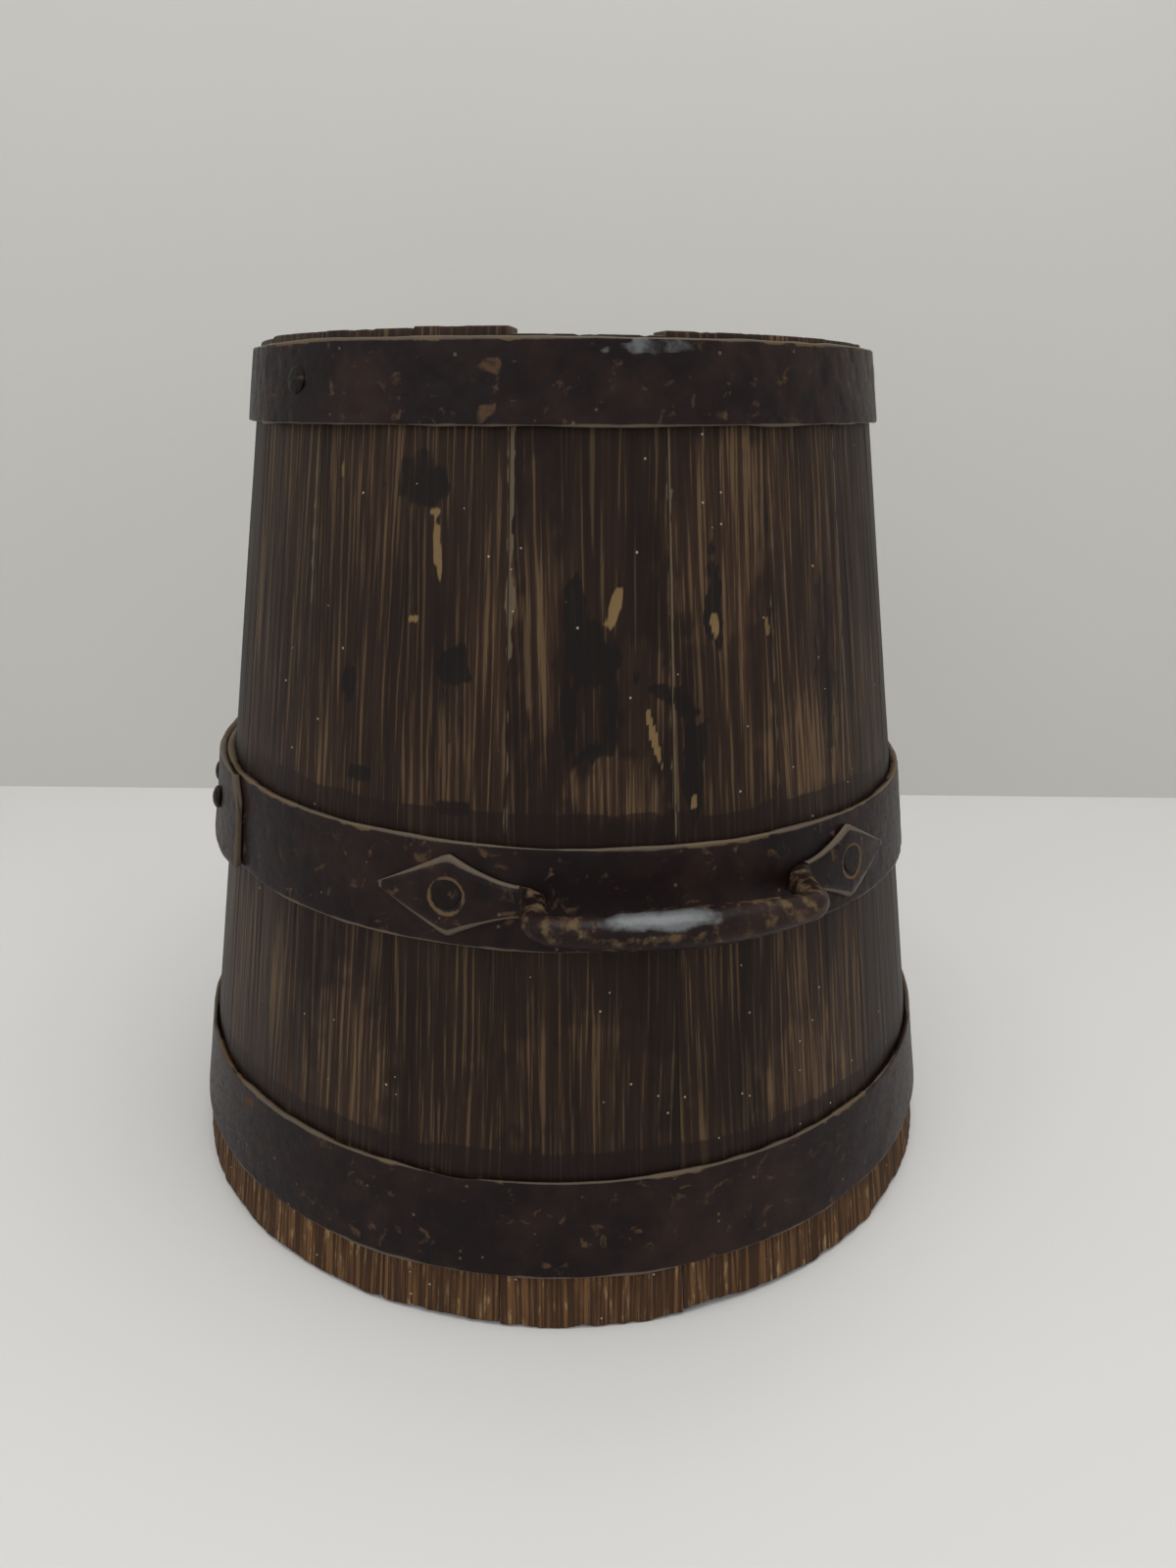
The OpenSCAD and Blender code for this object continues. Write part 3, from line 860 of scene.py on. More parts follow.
@dataclass
class Staves:
    """The tub's staves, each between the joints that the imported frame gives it."""

    columns: float = 1.15 * MM
    rows: float = 3.0 * MM
    layers: int = 6
    corner: float = 0.7 * MM
    gap: float = 0.08 * MM
    flat: float = 0.5 * MM
    groove: float = 0.25 * MM
    proud: float = 0.1 * MM
    foot_chip: float = 0.9 * MM
    foot_chip_w: float = 9 * MM
    rim_chip: float = 0.5 * MM
    rim_chip_w: float = 7 * MM
    rim_kept: float = 0.1 * MM
    relief: Unevenness = field(default_factory=lambda: Unevenness(5))
    tones: Array = field(default_factory=lambda: np.random.default_rng(21).uniform(-1, 1, 64))

    def build(self) -> None:
        """Makes every stave and has it stand for its node."""
        outside = StaveFinish().build()
        inside = PlainWoodFinish(
            "stave_inside",
            dark=srgb(62, 46, 34),
            brown=srgb(96, 74, 54),
            streak=srgb(136, 112, 82),
        ).build()
        ends = PlainWoodFinish(
            "stave_ends",
            dark=srgb(48, 36, 28),
            brown=srgb(74, 56, 40),
            streak=srgb(108, 88, 62),
            spacing=2.0,
        ).build()
        names = sorted(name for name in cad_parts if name.startswith("stave_"))
        for number, node in enumerate(names):
            mesh = self.shape(node, number)
            piece = mesh.piece(f"{node}_worn", [outside, inside, ends])
            settle(piece, node)
        LOG.info("staves: %d pieces", len(names))

    def joints(self, node: str) -> tuple[float, float]:
        """Azimuths of a stave's two joints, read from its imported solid."""
        places = np.array([v.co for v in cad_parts[node].data.vertices])
        azimuth = np.degrees(np.arctan2(places[:, 0], -places[:, 1]))
        middle = places[:, :2].mean(0)
        centre = math.degrees(math.atan2(middle[0], -middle[1]))
        turn = (azimuth - centre + 180) % 360 - 180
        return centre + turn.min(), centre + turn.max()

    def shape(self, node: str, number: int) -> Mesh:
        """Works out one stave.

        The stave is a rounded block bent round the cone: across runs from joint to joint,
        through from the outer to the inner face, and along from the foot to the rim. Its ends
        are ragged, its outer face is planed a little flat and scored along the grain, and its
        inner face holds the floor's groove.

        Args:
            node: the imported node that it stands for.
            number: the stave's place in the ring.

        Returns:
            The closed surface with its fields.
        """
        left, right = self.joints(node)
        low, high = (corner.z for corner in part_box(node))
        width = math.radians(right - left) * CONE.foot_r
        height = high - low
        net = BlockGrid(round(width / self.columns), self.layers, round(height / self.rows))
        i, j, k, quads, side = net.net
        across = self.graded(net.across, width)[i]
        through = self.graded(net.through, CONE.wall)[j]
        along = self.graded(net.along, height)[k]

        arc = across * width
        foot_wave = self.relief.rough(arc / self.foot_chip_w + 31 * number, number + 0.3)
        foot_chips = np.maximum(self.foot_chip + self.foot_chip * foot_wave, 0) * (1 - 0.5 * through)
        rim_wave = self.relief.rough(arc / self.rim_chip_w + 13 * number, number + 0.7)
        rim_chips = np.maximum(self.rim_chip * rim_wave - self.rim_kept, 0)
        box = np.stack([arc - width / 2, through * CONE.wall - CONE.wall / 2, along * height - height / 2], 1)
        half = np.array([width, CONE.wall, height]) / 2
        box = self.rounded(box, half)
        u = box[:, 0] + width / 2
        depth = box[:, 1] + CONE.wall / 2
        t = (box[:, 2] + height / 2) / height
        z = low + foot_chips + t * (height - foot_chips - rim_chips)

        share = u / width
        azimuth = left + share * (right - left)
        trim = np.degrees(self.gap / CONE.outer(z))
        azimuth += trim * (1 - 2 * share)
        shape = self.outer_relief(azimuth, z, share, u, number)
        outer = np.clip(1 - 2 * depth / CONE.wall, 0, 1)
        inner = np.clip(2 * depth / CONE.wall - 1, 0, 1)
        radius = CONE.outer(z) - depth + outer * shape["lift"] + inner * self.inner_relief(z, u, number)
        points = turned(azimuth, radius, z)

        middle = (share - 0.5) * np.radians(right - left) * CONE.outer(z)
        grain = np.stack([middle + 0.37 * number, z + 0.11 * number, depth], 1)
        slots = np.where(side == 2, 0, np.where(side == 3, 1, 2))
        return Mesh(points, quads, {"grain": grain, "marks": shape["marks"], "zones": shape["zones"]}, slots)

    def graded(self, cells: int, length: float) -> Array:
        """Places from 0 to 1 of the lattice lines, with three close lines at each end."""
        inner = np.linspace(self.corner / length, 1 - self.corner / length, cells - 3)
        step = self.corner / length
        return np.concatenate([[0, 0.4 * step], inner, [1 - 0.4 * step, 1]])

    def rounded(self, box: Array, half: Array) -> Array:
        """Rounds a block's edges: each point keeps its direction from the block shrunk by the corner."""
        core = np.clip(box, -(half - self.corner), half - self.corner)
        away = box - core
        length = np.maximum(np.linalg.norm(away, axis=1, keepdims=True), 1e-9)
        return core + away * (self.corner / length)

    def outer_relief(self, azimuth: Array, z: Array, share: Array, u: Array, number: int) -> dict[str, Array]:
        """Relief and fields of a stave's outer face.

        Args:
            azimuth: azimuth of each point.
            z: height of each point.
            share: place from one joint to the other.
            u: distance from the left joint.
            number: the stave's place in the ring.

        Returns:
            The lift outwards, the marks and the zones.
        """
        noise = self.relief
        wobble = noise.rough(azimuth / 1.7, z / (7 * MM) + 40)
        marks = np.zeros((len(z), 4))
        for spot in MARKS:
            channel = spot.kind.value
            marks[:, channel] = np.maximum(marks[:, channel], spot.mask(azimuth, z, wobble))
        for line in FILLERS:
            part = line.mask(azimuth, z, noise.rough(z / (6 * MM), number + 0.5 * np.sign(share - 0.5)))
            marks[:, MarkKind.FILLER.value] = np.maximum(marks[:, MarkKind.FILLER.value], part)

        band = np.zeros(len(z))
        for name, tall in (("middle", 11 * MM), ("bottom", 10 * MM)):
            above = z - HOOPS[name].top(azimuth)
            soft = tall + 1.5 * MM * noise.at(azimuth / 4, number + 9.5)
            grime = (1 - ease(-1 * MM, 1 * MM, above - soft)) * (above > -2 * MM)
            band = np.maximum(band, grime)
        foot = 1 - ease(0, 3 * MM, z - HOOPS["bottom"].foot(azimuth) - 2 * MM)
        tone = 0.5 + 0.28 * self.tones[number] + 0.2 * noise.at(azimuth / 9, z / (60 * MM))
        zones = np.stack([band, foot, np.clip(tone, 0, 1), np.ones(len(z))], 1)

        bow = -self.flat * (1 - (2 * share - 1) ** 2) * (0.7 + 0.5 * self.tones[number + 20])
        scored = noise.rough(u / (2.6 * MM) + 7 * number, z / (90 * MM) + number, 2)
        long_wave = 0.2 * MM * noise.at(azimuth / 5 + 50, z / (70 * MM))
        sunk = -0.5 * MM * marks[:, 1] - 0.25 * MM * marks[:, 0]
        lift = bow + self.groove * np.minimum(scored, 0.3) + long_wave + sunk
        near = 1 * MM
        under = [(z > hoop.foot(azimuth) - near) & (z < hoop.top(azimuth) + near) for hoop in HOOPS.values()]
        lift = np.where(np.any(under, 0), np.minimum(lift, 0) * 0.6 - 0.1 * MM, lift)
        return {"lift": np.minimum(lift, self.proud), "marks": marks, "zones": zones}

    def inner_relief(self, z: Array, u: Array, number: int) -> Array:
        """Lift of the inner face: tool marks across it, and the groove that holds the floor."""
        marks = 0.25 * MM * self.relief.rough(u / (11 * MM) + 3 * number, z / (16 * MM) + 5)
        groove = CONE.croze(z)
        return np.where(groove > 0, groove, marks)


@dataclass
class Hoop:
    """A forged strap hoop: its inner layer runs round, climbs over its own end and laps it."""

    shape: HoopShape
    step: float = 1.2 * MM
    face_points: int = 22
    corner: float = 0.8 * MM
    edge_band: float = 1.4 * MM

    def build(self, finish: bpy.types.Material) -> bpy.types.Object:
        """Makes the hoop and has it stand for its node."""
        piece = self.mesh().piece(f"{self.shape.node}_forged", [finish])
        settle(piece, self.shape.node)
        LOG.info("%s: %d faces", self.shape.node, len(piece.data.polygons))
        return piece

    def section(self) -> tuple[Array, Array]:
        """The strap's section: y across its width and x through it, anticlockwise from below."""
        half = self.shape.width / 2
        thick = self.shape.thick
        face = np.linspace(-half + self.corner, half - self.corner, self.face_points)
        turn = np.radians([22.5, 45, 67.5])
        c = self.corner
        outer_y = np.concatenate([face, half - c + c * np.sin(turn)])
        outer_x = np.concatenate([np.full(face.size, thick), thick - c + c * np.cos(turn)])
        inner_y = np.concatenate([[half], face[::-1], [-half]])
        inner_x = np.concatenate([[thick - c], np.zeros(face.size), [thick - c]])
        low_y = -(half - c + c * np.sin(turn[::-1]))
        low_x = thick - c + c * np.cos(turn[::-1])
        return np.concatenate([outer_y, inner_y, low_y]), np.concatenate([outer_x, inner_x, low_x])

    def mesh(self) -> Mesh:
        """Works out the strap.

        The strap is swept from its free end: distance along it turns into an azimuth, its
        layer is 1 over the lap, falls to 0 over the joggle and stays 0 to its tail, and the
        radius follows the cone at each height. Noise dents its face, bends its edges and
        ragged ends.

        Returns:
            The closed surface with its field of rubbing, painted highlight and crust.
        """
        hoop = self.shape
        reach = CONE.outer(hoop.mid_z)
        length = 2 * math.pi * reach + hoop.lap - hoop.tail_gap
        count = round(length / self.step)
        end = np.array([0, 0.25, 0.6]) * self.corner
        run = np.linspace(self.corner, length - self.corner, count)
        along = np.concatenate([end, run, length - end[::-1]])
        shrink = np.concatenate([[0.35, 0.7, 0.92], np.ones(count), [0.92, 0.7, 0.35]])
        y, x = self.section()
        s, y = np.meshgrid(along, y, indexing="ij")
        x = np.broadcast_to(x, s.shape)
        squeeze = shrink[:, None]
        noise = Unevenness(hoop.seed)
        wobble = hoop.wobble * np.stack([noise.rough(along / (38 * MM), edge) for edge in (3.5, 9.5)], 1)
        share = y / hoop.width + 0.5
        y = y + wobble[:, :1] * (1 - share) + wobble[:, 1:] * share
        clip = np.maximum(y / hoop.width - 0.22, 0) * hoop.clip * 3 + (y + hoop.width / 2) * hoop.skew
        s = s + clip * (1 - ease(0, 26 * MM, s))
        y = y * (1 - (1 - squeeze) * self.corner / hoop.width)
        x = hoop.thick / 2 + (x - hoop.thick / 2) * squeeze

        layer = 1 - ease(hoop.lap, hoop.lap + hoop.joggle, s)
        azimuth = hoop.lap_at + hoop.way * np.degrees(s / reach)
        outside = ease(0.5, 0.9, x / hoop.thick)
        dents = noise.rough(s / (6 * MM), y / (6 * MM) + 60, 3)
        broad = noise.at(s / (30 * MM), y / (24 * MM) + 90)
        lift = hoop.bumps * np.minimum(dents, 0.25) * outside + 0.25 * MM * broad * outside
        z = hoop.mid_z + hoop.rise(azimuth) + y
        radius = CONE.outer(z) + hoop.seat + x + layer * (hoop.thick + hoop.seat) + lift - 0.1 * MM * outside
        points = turned(azimuth, radius, z)
        if hoop.way > 0:
            points = points[:, ::-1]
        # pale band along both edges and the ends: rubbing plus a painted edge highlight
        near_edge = np.minimum(y + hoop.width / 2, hoop.width / 2 - y)
        edge = 1 - ease(0.1 * MM, self.edge_band, near_edge)
        edge = np.maximum(edge, 1 - ease(0, 2 * MM, s - clip))
        worn_and_highlight = self.worn_and_highlight(azimuth, z, noise)
        crust = self.crust(azimuth, hoop.width / 2 - y, noise)
        wear_and_highlight = np.stack([edge, worn_and_highlight, crust, np.ones(s.shape)], -1)
        if hoop.way > 0:
            wear_and_highlight = wear_and_highlight[:, ::-1]
        faces = tube_faces(*s.shape)
        return Mesh(points.reshape(-1, 3), faces, {"wear_and_highlight": wear_and_highlight.reshape(-1, 4)})

    def worn_and_highlight(self, azimuth: Array, z: Array, noise: Unevenness) -> Array:
        """A bluish bare patch on the top hoop, right of the photographed middle: rubbing plus a painted
        highlight.
        """
        if self.shape.node != "top_hoop":
            return np.zeros(azimuth.shape)
        turn = (azimuth + 2 + 180) % 360 - 180
        away = np.hypot(turn / 9, (z - 393 * MM) / (4 * MM)) + 0.3 * noise.at(azimuth / 1.5, z / (2 * MM))
        return 0.6 * (1 - ease(0.5, 1.2, away))

    def crust(self, azimuth: Array, below_top: Array, noise: Unevenness) -> Array:
        """Ochre dirt that lies along the strap's upper edge, in stretches."""
        stretch = ease(-0.1, 0.4, noise.rough(azimuth / 9 + 40, 5.5))
        return stretch * (1 - ease(0.4 * MM, 2.2 * MM, below_top))


@dataclass
class Handle:
    """A forged handle: a diamond palm on each side, a leg out of each, and a bowed round bar."""

    node: str
    side: float
    seed: int
    span: float = 176 * MM
    tip_l: float = 30 * MM
    neck_l: float = 29 * MM
    palm_h: float = 34 * MM
    palm_t: float = 3.6 * MM
    tip_h: float = 3 * MM
    tip_t: float = 2.4 * MM
    neck_h: float = 13 * MM
    bar_d: float = 16 * MM
    elbow_d: float = 11.6 * MM
    leg_d: float = 11 * MM
    standoff: float = 29.5 * MM
    bow: float = 6 * MM
    rise: float = 2 * MM
    lean: float = -4 * MM
    neck_bend: float = 8 * MM
    elbow_bend: float = 9 * MM
    seat: float = 0.2 * MM
    face_points: int = 41
    side_points: int = 7
    off_palm: float = -1.0
    grip_shift: float = 12 * MM
    recess_r: float = 7.4 * MM
    head_r: float = 6.0 * MM

    def __post_init__(self) -> None:
        """Works out the places along the handle's middle line."""
        hoop = HOOPS["middle"]
        self.face_r = CONE.outer(hoop.mid_z) + hoop.seat + hoop.thick
        self.palm_n = self.face_r + self.seat
        self.neck_r = self.palm_n + self.palm_t / 2
        self.palm_at = math.asin(self.span / 2 / self.neck_r)
        self.neck_at = self.palm_at - self.neck_l / self.neck_r
        self.neck_t = self.neck_r * math.sin(self.neck_at)
        self.neck_n = self.neck_r * math.cos(self.neck_at)
        self.leg_t = self.neck_t - self.neck_bend * (1 - math.sin(self.neck_at))
        self.leg_from = self.neck_n + self.neck_bend * math.cos(self.neck_at)
        heading = math.atan2(2 * self.bow, self.leg_t - self.elbow_bend)
        self.bar_half = self.leg_t - self.elbow_bend * (1 - math.sin(heading))
        self.bow_h = self.bar_half * math.tan(heading) / 2
        self.bar_n = self.face_r + self.standoff
        self.leg_to = self.bar_n - self.bow_h - self.elbow_bend * math.cos(heading)
        self.bar_heading = heading

    def palm_half_h(self, along: Array) -> Array:
        """Half height of the palm: straight sides to its tip, hollow sides to its neck."""
        out = self.palm_h + (self.tip_h - self.palm_h) * along / self.tip_l
        back = np.clip(1 + along / self.neck_l, 0, 1)
        inwards = self.neck_h + (self.palm_h - self.neck_h) * back**1.5
        sharp = np.minimum(out, inwards)
        soft = 3 * MM
        blunt = -soft * np.log(np.exp(-out / soft) + np.exp(-inwards / soft)) + soft * 0.35
        return np.where(np.abs(along) < 8 * MM, np.minimum(blunt, sharp), sharp) / 2

    def stations(self) -> Array:
        """Stations from a palm's tip to the bar's middle.

        Each row is t, n, heading, half thickness, half height, squareness, wall lean, and the
        distance along the palm from its rivet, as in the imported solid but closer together.

        Returns:
            The rows.
        """
        k = np.linspace(0, 1, 64)
        along = self.tip_l + (-self.neck_l - self.tip_l) * k
        a = self.palm_at + along / self.neck_r
        thinned = self.palm_t + (self.tip_t - self.palm_t) * along / self.tip_l
        thick = np.where(along > 0, thinned, self.palm_t)
        r = self.palm_n + thick / 2
        palm = self.rows(r * np.sin(a), r * np.cos(a), a, thick / 2, self.palm_half_h(along), 7.0, 1, along)

        k = np.linspace(0, 1, 15)[1:]
        h = self.neck_at + (math.pi / 2 - self.neck_at) * k
        soft = ease(0, 1, k)
        neck = self.rows(
            self.neck_t - self.neck_bend * (np.sin(h) - math.sin(self.neck_at)),
            self.neck_n + self.neck_bend * (math.cos(self.neck_at) - np.cos(h)),
            h,
            (self.palm_t + (self.leg_d - self.palm_t) * soft) / 2,
            (self.neck_h + (self.leg_d - self.neck_h) * k) / 2,
            6 - 3.5 * soft,
            1 - k,
            -self.neck_l - self.neck_bend * k,
        )
        k = np.linspace(0, 1, 6)[1:]
        half = (self.leg_d + (self.elbow_d - self.leg_d) * k) / 2
        n = self.leg_from + (self.leg_to - self.leg_from) * k
        leg = self.rows(self.leg_t, n, math.pi / 2, half, half, 2.5 - 0.5 * k, 0, self.off_palm)

        k = np.linspace(0, 1, 14)[1:]
        h = math.pi / 2 + (self.bar_heading - math.pi / 2) * k
        t = self.leg_t - self.elbow_bend * (1 - np.sin(h))
        n = self.leg_to + self.elbow_bend * np.cos(h)
        elbow = self.rows(t, n, h, self.elbow_d / 2, self.elbow_d / 2, 2, 0, self.off_palm)

        k = np.linspace(0, 1, 42)[1:]
        t = self.bar_half * (1 - k)
        half = (self.elbow_d + (self.bar_d - self.elbow_d) * np.sin(k * math.pi / 2)) / 2
        n = self.bar_n - self.bow_h * (1 - k) ** 2
        h = np.arctan(2 * self.bow_h * t / self.bar_half**2)
        bar = self.rows(t, n, h, half, half, 2, 0, self.off_palm)
        return np.concatenate([palm, neck, leg, elbow, bar])

    @staticmethod
    def rows(*columns: Array | float) -> Array:
        """Stands the stations' values side by side, one row for each station."""
        return np.stack(np.broadcast_arrays(*columns), 1)

    def way_out(self, n: Array) -> Array:
        """Share of the way from the neck out to the bar."""
        return ease(self.neck_n, self.leg_to, n)

    def ring(self) -> tuple[Array, Array, Array]:
        """Angles of a ring's points, and the same points' places on a square of half side 1."""
        faces = np.linspace(-1, 1, self.face_points)
        sides = np.linspace(-1, 1, self.side_points)[1:-1]
        quarter = math.pi / 4
        angle = np.concatenate([
            faces * quarter,
            (2 + sides) * quarter,
            (4 + faces) * quarter,
            (6 + sides) * quarter,
        ])
        through = np.concatenate([np.ones(faces.size), -sides, -np.ones(faces.size), sides])
        upright = np.concatenate([faces, np.ones(sides.size), -faces, -np.ones(sides.size)])
        return angle, through[None, :], upright[None, :]

    def rings(self, hand: int, noise: Unevenness) -> tuple[Array, Array]:
        """The rings of one half, from its palm's tip to the bar's middle.

        Each ring lies between a rectangle and an ellipse, nearer to the rectangle the higher
        the station's squareness. Hammer dents shift its points along the ring's own normal.

        Args:
            hand: 1 for the right half, -1 for the left.
            noise: the unevenness of the forging.

        Returns:
            The points, and at each the rubbing, painted highlight and crust.
        """
        rows = self.stations()
        t, n, heading, half_t, half_h, square, wall, along = (rows[:, [c]] for c in range(8))
        a, block_c, block_w = self.ring()
        c, w = np.cos(a)[None, :], np.sin(a)[None, :]
        roundness = (2 / square) ** 1.2
        u = half_t * (block_c + (c - block_c) * roundness)
        v = half_h * (block_w + (w - block_w) * roundness)
        steps = np.hypot(np.diff(t, axis=0), np.diff(n, axis=0))
        path = np.concatenate([[[0]], np.cumsum(steps, axis=0)])
        on_palm = along > -self.neck_l
        shift = 40 * hand + self.seed
        dents = noise.rough(path / (5 * MM) + shift, a[None, :] * 2 + shift)
        planes = noise.at(path / (14 * MM) + shift, a[None, :] * 1.1 + 5)
        forged = np.minimum(0.18 * MM * dents + 0.35 * MM * planes, 0)
        lift = np.where(on_palm, 0.12 * MM * dents * (c > 0), forged)
        away = np.hypot(along, v)
        bevel = ease(0.62, 0.98, np.abs(v) / half_h) * (c > 0) * on_palm
        front = ease(0.3, 0.9, c)
        sunk = on_palm * front * (1 - ease(self.head_r - 0.3 * MM, self.recess_r, away)) * 0.9 * MM
        u = u + lift * np.sign(c) * np.abs(c) - sunk - bevel * half_t * 0.55
        v = v + lift * w * (1 - on_palm)
        middle = HOOPS["middle"]
        azimuth = np.degrees(np.arctan2(t, n)) * hand + self.side
        tilt_z = middle.rise(azimuth) * np.hypot(t, n) / CONE.outer(middle.mid_z)
        slope = CONE.slope * wall
        out = u - slope * (v + tilt_z)
        x = hand * (t + out * np.sin(heading)) + self.lean * self.way_out(n)
        y = -(n + out * np.cos(heading))
        z = middle.mid_z + tilt_z + v + u * slope + self.rise * self.way_out(n)
        turn = math.radians(self.side)
        east, north = math.cos(turn), math.sin(turn)
        points = np.stack([x * east - y * north, x * north + y * east, z], -1)
        # palm edges and tip: pale from rubbing, plus a painted edge highlight
        edge = on_palm * ease(0.7, 0.95, np.abs(v) / half_h) * (c > -0.5)
        tip = ease(self.tip_l - 2.5 * MM, self.tip_l, along) * on_palm
        off_ring = np.abs(away - self.recess_r + 0.2 * MM)
        ring_dirt = on_palm * front * (1 - ease(0.5 * MM, 1.3 * MM, off_ring))
        # bar's middle, upper side: a bluish bare patch of rubbing plus a painted highlight from the light
        # above
        off_middle = np.abs(hand * t + self.grip_shift)
        upper = ease(0.45, 1.0, w * 0.8 + c * 0.45)
        grip_and_highlight = (n > self.leg_to) * (1 - ease(14 * MM, 38 * MM, off_middle)) * upper
        off_grip = 0.46 * (1 - on_palm) * ease(-0.7, 0.4, w + c * 0.4)
        crust = np.maximum(0.8 * ring_dirt, off_grip * (1 - 0.8 * grip_and_highlight))
        rubbed_and_highlight = np.maximum(edge, tip)
        wear_and_highlight = np.stack(np.broadcast_arrays(rubbed_and_highlight, 0.8 * grip_and_highlight, crust, 1.0), -1)
        return points, wear_and_highlight

    def build(self, finish: bpy.types.Material) -> bpy.types.Object:
        """Makes the handle and has it stand for its node."""
        noise = Unevenness(self.seed)
        right, right_wear = self.rings(1, noise)
        left, left_wear = self.rings(-1, noise)
        points = np.concatenate([right, left[-2::-1]])
        wear_and_highlight = np.concatenate([right_wear, left_wear[-2::-1]])
        faces = tube_faces(*points.shape[:2])
        mesh = Mesh(points.reshape(-1, 3), faces, {"wear_and_highlight": wear_and_highlight.reshape(-1, 4)})
        piece = mesh.piece(f"{self.node}_forged", [finish])
        settle(piece, self.node)
        LOG.info("%s: %d faces", self.node, len(piece.data.polygons))
        return piece


@dataclass
class Rivets:
    """The rivets of one node: each a shank with a hammered head, turned round its own axis."""

    node: str
    shank_r: float
    head_r: float
    head_h: float
    flat: bool
    seed: int
    ring: int = 48
    tail_r: float = 0.2 * MM
    tail_h: float = 0.3 * MM
    cone_h: float = 1.55 * MM

    def build(self, finish: bpy.types.Material) -> None:
        """Makes one piece of all the node's rivets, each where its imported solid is."""
        meshes = [self.one(solid, number) for number, solid in enumerate(self.solids())]
        shift = np.cumsum([0] + [len(m.points) for m in meshes[:-1]])
        points = np.concatenate([m.points for m in meshes])
        faces = np.concatenate([m.faces + s for m, s in zip(meshes, shift)])
        wear_and_highlight = np.concatenate([m.fields["wear_and_highlight"] for m in meshes])
        piece = Mesh(points, faces, {"wear_and_highlight": wear_and_highlight}).piece(f"{self.node}_hammered", [finish])
        settle(piece, self.node)
        LOG.info("%s: %d rivets", self.node, len(meshes))

    def solids(self) -> list[Array]:
        """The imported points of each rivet, told apart by where they stand."""
        places = np.array([v.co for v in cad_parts[self.node].data.vertices])
        azimuth = np.degrees(np.arctan2(places[:, 0], -places[:, 1]))
        centre = math.degrees(math.atan2(places[:, 0].mean(), -places[:, 1].mean()))
        turn = (azimuth - centre + 180) % 360 - 180
        split = np.flatnonzero(np.diff(np.sort(turn)) > 3)
        cuts = np.sort(turn)[split] + 1
        return [places[np.digitize(turn, cuts) == n] for n in range(len(cuts) + 1)]

    def one(self, solid: Array, number: int) -> Mesh:
        """Turns one rivet.

        Its profile runs up the shank and over the head, and is turned round the axis that
        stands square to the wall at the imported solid's middle. Noise in angle and radius
        dents the head.

        Args:
            solid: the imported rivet's points.
            number: which rivet of the node it is.

        Returns:
            The closed surface.
        """
        middle = (solid.min(0) + solid.max(0)) / 2
        azimuth = math.atan2(middle[0], -middle[1])
        lean = math.atan(CONE.slope)
        level = np.array([math.sin(azimuth), -math.cos(azimuth), 0.0])
        outwards = level * math.cos(lean) + np.array([0.0, 0.0, math.sin(lean)])
        sideways = np.array([math.cos(azimuth), math.sin(azimuth), 0.0])
        upwards = np.cross(outwards, sideways)
        heights = (solid - middle) @ outwards
        low, high = heights.min(), heights.max()
        r, h = self.profile(low, high)
        angle = 2 * math.pi * np.arange(self.ring) / self.ring
        noise = Unevenness(self.seed + number)
        rr, aa = np.meshgrid(r, angle, indexing="ij")
        hh = np.broadcast_to(h[:, None], rr.shape)
        on_head = ease(high - self.head_h * 1.05, high - self.head_h * 0.6, hh)
        px, py = rr * np.cos(aa), rr * np.sin(aa)
        dents = noise.rough(px / (3 * MM) + 9, py / (3 * MM) + 9)
        rr = rr * (1 + 0.05 * noise.at(2 * np.cos(aa) + 4, 2 * np.sin(aa) + 4) * on_head)
        hh = hh - 0.22 * MM * np.abs(dents) * on_head
        across = (rr * np.cos(aa))[..., None] * sideways + (rr * np.sin(aa))[..., None] * upwards
        points = middle + hh[..., None] * outwards + across
        rim = 0.0 if self.flat else 0.6 * ease(0.8, 1.0, rr / self.head_r) * on_head
        wear_and_highlight = np.stack(np.broadcast_arrays(rim, 0.0, np.zeros(rr.shape), 1.0), -1)
        faces = tube_faces(*rr.shape)
        return Mesh(points.reshape(-1, 3), faces, {"wear_and_highlight": wear_and_highlight.reshape(-1, 4)})

    def profile(self, low: float, high: float) -> tuple[Array, Array]:
        """Radii and heights of the profile, from the shank's end over the head to its top.

        Args:
            low: height of the shank's end.
            high: height of the head's top.

        Returns:
            The radii and the heights.
        """
        shank_r = np.array([self.tail_r, self.shank_r * 0.9, self.shank_r, self.shank_r])
        shank_h = [low, low, low + self.tail_h]
        if self.flat:
            under = high - self.head_h
            t = np.linspace(0, 1, 6)[1:]
            cone = self.shank_r + (self.head_r - self.shank_r) * t
            face = self.head_r * np.array([0.97, 0.85, 0.6, 0.35, 0.1, 0.02])
            heights = [shank_h, [under], under + self.cone_h * t, np.full(face.size, high)]
            return np.concatenate([shank_r, cone, face]), np.concatenate(heights)
        t = np.linspace(0, math.pi / 2, 14)[:-1]
        under = high - self.head_h
        seat = under - 0.05 * MM
        dome = [self.head_r * np.cos(t), [0.02 * self.head_r]]
        heights = [shank_h, [seat, seat], under + self.head_h * np.sin(t), [high]]
        return np.concatenate([shank_r, [self.head_r * 0.9], *dome]), np.concatenate(heights)


